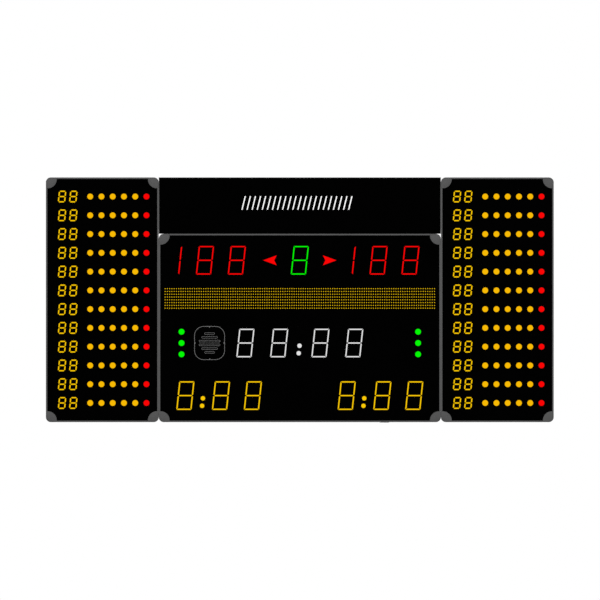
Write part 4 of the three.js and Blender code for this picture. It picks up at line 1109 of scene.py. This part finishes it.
def wall_rails():
    for name, z in RAILS.items():
        keep(f"{name}_wall_rail", "zinc_steel")
        anchors = bmesh.new()
        for x in ANCHOR_PLACES:
            stud(anchors, ANCHOR_WASHER_RINGS, x, z, sides=28)
            nut = circle(x, z, ANCHOR_NUT.radius, sides=6)
            prism(anchors, nut, ANCHOR_NUT.front, ANCHOR_NUT.back, ANCHOR_NUT.chamfer)
            stud(anchors, ANCHOR_END_RINGS, x, z, sides=20)
        finished(f"{name}_rail_anchors", anchors, "zinc_steel")


# Power supplies: a ventilated case with a row of screw terminals on its lower step
SUPPLY = Sizes(depth=38, step=22, step_depth=17, gap=0.2)
TERMINALS = Sizes(count=9, x=24, pitch=20.5, z=11, inset=8, low=3, high=20, depth=25,
                  wall_x=-8, wall_half=0.6, wall_depth=28.5)
TERMINAL_SCREW_RINGS = ((0, 26.2), (2, 26.2), (3.1, 25.6), (3.1, 25))
VENTS = Sizes(columns=14, x=26, column_pitch=12.6, rows=5, z=38, row_pitch=15)
VENT_RINGS = ((0, 38.06), (2.6, 38.06), (3.4, 38.25), (3.9, 38.1))


def terminal(node, number):
    return board_box(node)[0] + TERMINALS.x + number * TERMINALS.pitch


def supply(name, node, back, toward):
    """It stands out from its back towards one side."""
    x0, x1, _, _, z0, z1 = board_box(node)
    case = bmesh.new()
    step, inset, low, high = z0 + SUPPLY.step, TERMINALS.inset, z0 + TERMINALS.low, z0 + TERMINALS.high

    def layer(start, end, outline, index=0):
        prism(case, outline, back + toward * start, back + toward * end, index=index)

    def studs(rings, places, sides, index):
        for x, z in places:
            stud(case, [(radius, toward * distance) for radius, distance in rings], x, z, back, sides, index)

    layer(0, SUPPLY.depth, rectangle(x0, x1, step, z1))
    layer(0, SUPPLY.step_depth, rectangle(x0, x1, z0, step - SUPPLY.gap))
    layer(SUPPLY.step_depth, TERMINALS.depth, rectangle(x0 + inset, x1 - inset, low, high), 1)
    places = [terminal(node, i) for i in range(TERMINALS.count)]
    for x in places:
        wall, half = x + TERMINALS.wall_x, TERMINALS.wall_half
        layer(TERMINALS.depth, TERMINALS.wall_depth, rectangle(wall - half, wall + half, low, high), 1)
    studs(TERMINAL_SCREW_RINGS, [(x, z0 + TERMINALS.z) for x in places], sides=16, index=2)
    columns = [x0 + VENTS.x + i * VENTS.column_pitch for i in range(VENTS.columns)]
    rows = [z0 + VENTS.z + i * VENTS.row_pitch for i in range(VENTS.rows)]
    studs(VENT_RINGS, [(x, z) for x in columns for z in rows], sides=12, index=3)
    finished(name, case, "supply_case", "black_plastic", "brass", "housing_plastic", replaces=node, bevel=0.6)


# Controller: heights from its node's front. Chips (with width and height) and capacitors: places from its
# lower left corner. Its sockets and plugs are rows for parts()
CONTROLLER = Sizes(spacers=10, top=11.6, inset=12, spacer_radius=4.2)
CONTROLLER_SCREW_RINGS = ((3.4, 0), (3.4, 1.2), (2.4, 2.2), (0, 2.2))
SOCKET = (75, 0, 0, 90, 40, 6, BLACK)
SOCKET_MARGIN = 50
PLUGS = Sizes(count=10, x=39.2, pitch=8.6, screw=9)
PLUG = (0, 0, 6, 6.4, 34, 7.5, PALE)
PLUG_SCREW_RINGS = ((1.9, 13.5), (1.9, 14), (0, 14))
CHIPS = ((150, 60, 34, 34), (210, 60, 22, 12), (255, 60, 22, 12), (150, 130, 22, 12), (200, 130, 40, 16),
         (262, 120, 16, 28), (150, 175, 30, 12), (205, 180, 22, 12))
CHIP_DEPTH = 2.6
PIN = Sizes(pitch=2.54, start=1.65, width=0.9, length=1.8, depth=1)
CAPACITORS = ((130, 95), (180, 95), (230, 95), (280, 170), (280, 195))
CAPACITOR_RINGS = ((5, 0), (5, 10.6), (4.4, 11.4), (0, 11.4))
DUCT = Sizes(x0=-338, x1=326, low=640, high=684, start=0.2, floor=2, rim=29,
             lid=30.8, lid_lap=1, margin=2, tooth=8, tooth_depth=1.6, pitch=12.5)


def controller_plug(number):
    return board_box("controller_board")[0] + PLUGS.x + number * PLUGS.pitch


def controller():
    node = "controller_board"
    x0, _, y0, _, z0, z1 = board_box(node)
    face, top = y0 + CONTROLLER.spacers, y0 + CONTROLLER.top
    board = bmesh.new()
    prism(board, inside(node), face, top, index=CIRCUIT)
    for x, z in inside(node, CONTROLLER.inset):
        prism(board, circle(x, z, CONTROLLER.spacer_radius, sides=6), y0, face, index=STEEL)
        stud(board, CONTROLLER_SCREW_RINGS, x, z, top, sides=16, index=STEEL)
    for z in (z0 + SOCKET_MARGIN, z1 - SOCKET_MARGIN):
        parts(board, [SOCKET], x0, z, top)
        for x in (controller_plug(i) for i in range(PLUGS.count)):
            parts(board, [PLUG], x, z, top)
            stud(board, PLUG_SCREW_RINGS, x, z + PLUGS.screw, top, sides=12, index=STEEL)
    for x, z, width, height in CHIPS:
        pins = [
            (PIN.start + i * PIN.pitch - width / 2, side * (height + PIN.length) / 2, 0,
             PIN.width, PIN.length, PIN.depth, STEEL)
            for i in range(int(width / PIN.pitch))
            for side in (-1, 1)
        ]
        parts(board, [(0, 0, 0, width, height, CHIP_DEPTH, BLACK), *pins], x0 + x, z0 + z, top)
    for x, z in CAPACITORS:
        stud(board, CAPACITOR_RINGS, x0 + x, z0 + z, top, sides=24, index=BLACK)
    finished("controller", board, *BOARD_MATERIALS, replaces=node)


def wiring_duct():
    """A slotted duct with its lid, over the equipment."""
    duct = bmesh.new()
    x0, x1, low, high, lap = DUCT.x0, DUCT.x1, DUCT.low, DUCT.high, DUCT.lid_lap
    floor_at, rim, lid = PLATE_BACK + DUCT.floor, PLATE_BACK + DUCT.rim, PLATE_BACK + DUCT.lid
    block(duct, x0, x1, PLATE_BACK + DUCT.start, floor_at, low, high)
    for x in evenly(x0 + DUCT.margin, x1 - DUCT.margin - DUCT.tooth, DUCT.pitch):
        for z in (low, high - DUCT.tooth_depth):
            block(duct, x, x + DUCT.tooth, floor_at, rim, z, z + DUCT.tooth_depth)
    block(duct, x0, x1, rim, lid, low - lap, high + lap)
    finished("wiring_duct", duct, "duct_plastic", bevel=0.2)


# Fixed wiring: bundles of short wires that run from terminals to clips or into the duct
WIRE_SWAY = Sizes(spacing=3.4, steps=8, start=110, pitch=120, by=1.6, turn=1.9)
WIRE_CLIP = Sizes(count=4, start=170, pitch=240, width=26, height=10, foot=1.5, low=1.6,
                  high=3, radius=2)
RIBBON_WIRES = 16
RIBBON_PITCH = 1.27
RIBBON_PLACES = (-170, 40, 250)
RIBBON_SHIFT = 95
HEADER_PARTS = [(0, 0, 0, 28, 8.8, 6, 0), (0, 0, 6, 22, 6.4, 4, 0)]
HEADER_PARTS += [(side * 15.3, 0, 0, 2.2, 5, 8.5, 1) for side in (-1, 1)]
PLUG_TOP = BOARD_SURFACE + 10.2


def wires(name, routes, radius, material):
    """Round wires; each route is a list of points of X, Y and height."""
    curve = bpy.data.curves.new("wires", "CURVE")
    curve.dimensions = "3D"
    curve.bevel_depth = radius
    curve.bevel_resolution = 2
    curve.use_fill_caps = True
    for route in routes:
        spline = curve.splines.new("NURBS")
        spline.points.add(len(route) - 1)
        spline.order_u = 3
        spline.use_endpoint_u = True
        spline.resolution_u = 5
        for point, place in zip(spline.points, route):
            point.co = (*place, 1)
    finished(name, meshed(curve), material, sharp=60)


def paired_wires(prefix, names, to_route, count, radius):
    """Black and red wires in turn; to_route gives the path of each from its number."""
    for first, (name, material) in enumerate(zip(names, ("wire_black", "wire_red"))):
        wires(f"{prefix}_{name}_wires", [to_route(i) for i in range(first, count, 2)], radius, material)


def controller_wires():
    _, _, y0, _, _, z1 = board_box("controller_board")
    top, duct = y0 + CONTROLLER.top, DUCT.low

    def to_route(i):
        x = controller_plug(i)
        return [(x, top + 9, z1 - 34), (x, top + 11, z1 - 22), (x + 2, top + 14, z1 - 5), (x + 5, top + 9, duct - 12),
                (x + 5, top + 6, duct + 6)]

    paired_wires("controller", ("signal", "power"), to_route, count=PLUGS.count, radius=1.1)


def centre_supply_wires():
    node = "centre_power_supply"
    x0, _, y0, _, z0, z1 = board_box(node)
    depth, duct = y0 + 22, DUCT.low

    def to_route(i):
        x, lane, dip = terminal(node, i), x0 - 5 - 3 * i, 2.4 * i
        return [(x, depth, z0 + 8), (x, depth + 3, z0 - 6), (x - 8, depth, z0 - 12 - dip),
                (lane + 12, depth - 4, z0 - 14 - dip), (lane, depth - 6, z0 - 2), (lane, depth - 6, z0 + 60),
                (lane, depth - 6, z1 + 40), (lane + 1, depth - 4, duct - 20), (lane + 3, depth - 4, duct + 12)]

    paired_wires("centre", ("return", "supply"), to_route, count=6, radius=1.3)


def side_supply_wires(side):
    """Down the cabinet from its supply, held by clips on the display boards."""
    node = f"{side}_power_supply"
    _, _, _, back, z0, _ = board_box(node)
    centre, runs = middle(node)[0], spread(4, WIRE_SWAY.spacing)

    def to_route(i):
        x, run = terminal(node, i + 2), centre + runs[i]
        route = [(x, back - 20, z0 + 8), (x, back - 24, z0 - 10), (run, back - 52, z0 - 50)]
        for step in range(WIRE_SWAY.steps):
            sway = WIRE_SWAY.by * sin(WIRE_SWAY.turn * step + i)
            route.append((run + sway, BOARD_CLIP, z0 - WIRE_SWAY.start - step * WIRE_SWAY.pitch))
        return route

    paired_wires(side, ("return", "supply"), to_route, count=len(runs), radius=1.5)
    clips = bmesh.new()
    width, height, foot = WIRE_CLIP.width, WIRE_CLIP.height, WIRE_CLIP.foot
    bridge, top = BOARD_CLIP + WIRE_CLIP.low, BOARD_CLIP + WIRE_CLIP.high
    for step in range(WIRE_CLIP.count):
        z = z0 - WIRE_CLIP.start - step * WIRE_CLIP.pitch
        prism(clips, rounded(centre, z, width, height, WIRE_CLIP.radius), bridge, top)
        for x in spread(2, width - foot):
            prism(clips, centred(centre + x, z, foot, height), BOARD_SURFACE, top)
    finished(f"{side}_wire_clips", clips, "connector", bevel=0.3)


def ribbons(name, paths, ends):
    """Flat cables of wires side by side; each of their ends on a board is plugged into a header."""
    shifts = spread(RIBBON_WIRES, RIBBON_PITCH)
    routes = [[(x + shift, y, z) for x, y, z in path] for path in paths for shift in shifts]
    wires(f"{name}_ribbons", routes, RIBBON_PITCH / 2 - 0.02, "ribbon_grey")
    headers = bmesh.new()
    for x, z in ends:
        parts(headers, HEADER_PARTS, x, z, BOARD_SURFACE)
    finished(f"{name}_headers", headers, "black_plastic", "connector", bevel=0.3)


def display_ribbons():
    """From the duct up to the name matrix, and from each player module to the next."""
    low = board_box("name_matrix")[4]
    climb = ((-80, 672), (-80, 695), (-80, 730), (-88, 762), (PLUG_TOP + 7, low - 2),
             (PLUG_TOP + 4, low + 16), (PLUG_TOP + 0.5, low + 25), (PLUG_TOP - 1, low + 26))
    ribbons("centre", [[(x, y, z) for y, z in climb] for x in RIBBON_PLACES], [(x, low + 26) for x in RIBBON_PLACES])
    for side in ("left", "right"):
        paths, ends = [], []
        for lower, upper in (("lower", "middle"), ("middle", "upper")):
            x0, x1, _, _, _, top = board_box(f"{side}_player_module_{lower}")
            base = board_box(f"{side}_player_module_{upper}")[4]
            bridge = ((-1, top - 28), (0.5, top - 27), (5, top - 18), (8, (top + base) / 2),
                      (5, base + 18), (0.5, base + 27), (-1, base + 28))
            x = (x0 + x1) / 2 + RIBBON_SHIFT
            paths.append([(x, PLUG_TOP + lift, z) for lift, z in bridge])
            ends += [(x, top - 28), (x, base + 28)]
        ribbons(side, paths, ends)


# Mains inlet under the centre cabinet
INLET_Y = -83.9
INLET_PINS = ((577.7, -2), (584.7, 2), (591.7, -2))
INLET_PIN = Sizes(half_width=1.15, half_depth=2.15, low=2.5, high=13.1)
DRAWER_LIP = Sizes(half=3.2, front=-9, back=-7.4, low=-0.7, high=0.1)
ROCKER = Sizes(x=619, z=2.2, radius=7.4, half=10, tilt=9)
ROCKER_DISH = ((-4.6, -6), (-3, -5.2), (0, -4.5), (3, -5.2), (4.6, -6))
ROCKER_ON_BOX = (-2.9, -2.5, -3.2, 3.2, -5.5, -5)
ROCKER_OFF = Sizes(x=2.7, z=-5.25, longer=1.5, slope=-0.23)
ROCKER_OFF_RINGS = ((1.1, -0.1), (1.1, 0.1), (0.7, 0.1), (0.7, -0.1), (1.1, -0.1))


def power_inlet():
    keep("power_inlet", "black_plastic")
    keep("fuse_drawer", "black_plastic")
    pins, lip = bmesh.new(), bmesh.new()
    wide, deep = INLET_PIN.half_width, INLET_PIN.half_depth
    for x, dy in INLET_PINS:
        y = INLET_Y + dy
        block(pins, x - wide, x + wide, y - deep, y + deep, INLET_PIN.low, INLET_PIN.high)
    finished("inlet_pins", pins, "brass", bevel=0.4)
    x0, x1, y0, y1, low, _ = board_box("fuse_drawer")
    x, y, half = (x0 + x1) / 2, (y0 + y1) / 2, DRAWER_LIP.half
    block(lip, x - half, x + half, y + DRAWER_LIP.front, y + DRAWER_LIP.back, low + DRAWER_LIP.low,
          low + DRAWER_LIP.high)
    finished("fuse_drawer_lip", lip, "black_plastic", body="fuse_drawer", bevel=0.2)


def rocker():
    """Drawn about its own axis along Y: a round top and a shallow dished face with its two marks."""
    body, marks = bmesh.new(), bmesh.new()
    prism(body, [*arc(0, 0, ROCKER.radius, 0, 180, steps=24), *ROCKER_DISH], -ROCKER.half, ROCKER.half)
    block(marks, *ROCKER_ON_BOX)

    def on_dish(radius, angle, rise):
        x, y = radius * cos(angle), (radius + ROCKER_OFF.longer) * sin(angle)
        return ROCKER_OFF.x + x, y, ROCKER_OFF.z + rise + ROCKER_OFF.slope * x

    turned(marks, ROCKER_OFF_RINGS, on_dish, sides=24)
    place = Matrix.Translation((ROCKER.x, INLET_Y, ROCKER.z))
    for bm in (body, marks):
        bm.transform(place @ Matrix.Rotation(radians(ROCKER.tilt), 4, "Y"))
    finished("power_rocker", body, "black_plastic", body="power_switch", replaces="power_switch", bevel=0.4)
    finished("power_rocker_marks", marks, "mark_white", body="power_switch")


# Every piece in its place
for cabinet in CABINETS:
    keep(f"{cabinet}_frame", "frame_paint")
    keep(f"{cabinet}_front_sheet", "front_sheet")
    corner_caps(cabinet)
    rear_cover(cabinet)
    service_door(cabinet)
    hanger_bolts(cabinet)
for side in ("left", "right"):
    player_displays(side)
    latch(f"{side}_latch", f"{side}_door_latch")
    supply(f"{side}_supply_case", f"{side}_power_supply", COVER_FRONT - 0.3, toward=-1)
    side_supply_wires(side)
for team in ("home", "guest"):
    display(f"{team}_score_module", f"{team}_score", "lens_red", start=SCORE_START, figures=(
        (BIG_ONE, 0), (BIG_EIGHT, HUNDREDS_PITCH), (BIG_EIGHT, HUNDREDS_PITCH + DIGIT_PITCH)))
    display(f"{team}_timeout_lights", f"{team}_timeout", "lens_green", radius=LIGHT_RADIUS, lights=[
        (0, rise) for rise in spread(3, TIMEOUT_PITCH)])
    display(f"{team}_penalty_module", f"{team}_penalty", "lens_yellow", start=PENALTY_START, figures=(
        (BIG_EIGHT, 0), (BIG_EIGHT, MINUTE_PITCH), (BIG_EIGHT, MINUTE_PITCH + DIGIT_PITCH)),
        lights=colon(MINUTE_PITCH / 2))
for level in ("lower", "upper"):
    latch(f"centre_latch_{level}", f"centre_door_latch_{level}")
period_display()
matrix_display()
display("clock_module", "clock", "lens_white", figures=[(BIG_EIGHT, place) for place in CLOCK_PLACES],
        lights=colon(0))
horn()
horn_driver()
advert()
joint_strips()
wall_rails()
keep("equipment_plate", "zinc_steel")
supply("centre_supply_case", "centre_power_supply", PLATE_BACK + 0.3, toward=1)
controller()
wiring_duct()
controller_wires()
centre_supply_wires()
display_ribbons()
power_inlet()
rocker()


# Stage, light and camera
WORLD_STRENGTH = 0.63
FLOOR = Sizes(height=-5, reach=40, shown_share=0.85)
LAMP_TARGET = (0, 0, -0.3)
LAMP_SIZE = (4, 3)
LAMPS = {"key": ((-3.2, -5.2, 3.4), 163), "fill": ((3.8, -5, 1), 93), "rear": ((1.5, 5, 2.8), 130)}
VIEW = Sizes(place=(0.0014, -6, -0.3192), scale=4.254, end=100)


def background():
    """White behind the object, for the camera and in reflections, and an even plain light on it."""
    SCENE.world = bpy.data.worlds.new("studio")
    SCENE.world.use_nodes = True
    world = Nodes(SCENE.world.node_tree)
    even = world.nodes["Background"]
    world.feed(even, {"Color": shaded(WHITE), "Strength": WORLD_STRENGTH})
    shown = world.add("Background", "Background", {"Color": shaded(WHITE), "Strength": 1})
    seen = world.add("LightPath", "Is Camera Ray")
    for kind in ("Is Glossy Ray", "Is Transmission Ray"):
        seen = world.maths("MAXIMUM", seen, world.add("LightPath", kind))
    world.show("World Output", seen, even.outputs["Background"], shown)


def floor():
    bm = bmesh.new()
    bmesh.ops.create_grid(bm, x_segments=1, y_segments=1, size=FLOOR.reach)
    data = bpy.data.meshes.new("studio_floor")
    bm.to_mesh(data)
    bm.free()
    ground = Surface("studio_floor", (0.86, 0.86, 0.85), roughness=0.8, specular=0.1)
    ground.set("Base Color", ground.mix(ground.noise(2), shaded((0.85, 0.85, 0.84)), shaded((0.88, 0.88, 0.87))))
    share = ground.maths("MULTIPLY", ground.add("LightPath", "Is Camera Ray"), FLOOR.shown_share)
    ground.show("Material Output", share, ground.shader.outputs["BSDF"], ground.add("Emission", "Emission"))
    data.materials.append(ground.made)
    linked("studio_floor", data, (0, 0, FLOOR.height))


def lamps():
    for name, (place, power) in LAMPS.items():
        data = bpy.data.lights.new(name, "AREA")
        data.shape, data.energy = "RECTANGLE", power
        data.size, data.size_y = LAMP_SIZE
        linked(name, data, place, (Vector(LAMP_TARGET) - Vector(place)).to_track_quat("-Z", "Y").to_euler())


def camera():
    data = bpy.data.cameras.new("camera")
    data.type, data.ortho_scale, data.clip_end = "ORTHO", VIEW.scale, VIEW.end
    SCENE.camera = linked("camera", data, VIEW.place, (pi / 2, 0, 0))


background()
floor()
lamps()
camera()
SCENE.view_settings.view_transform = "Standard"
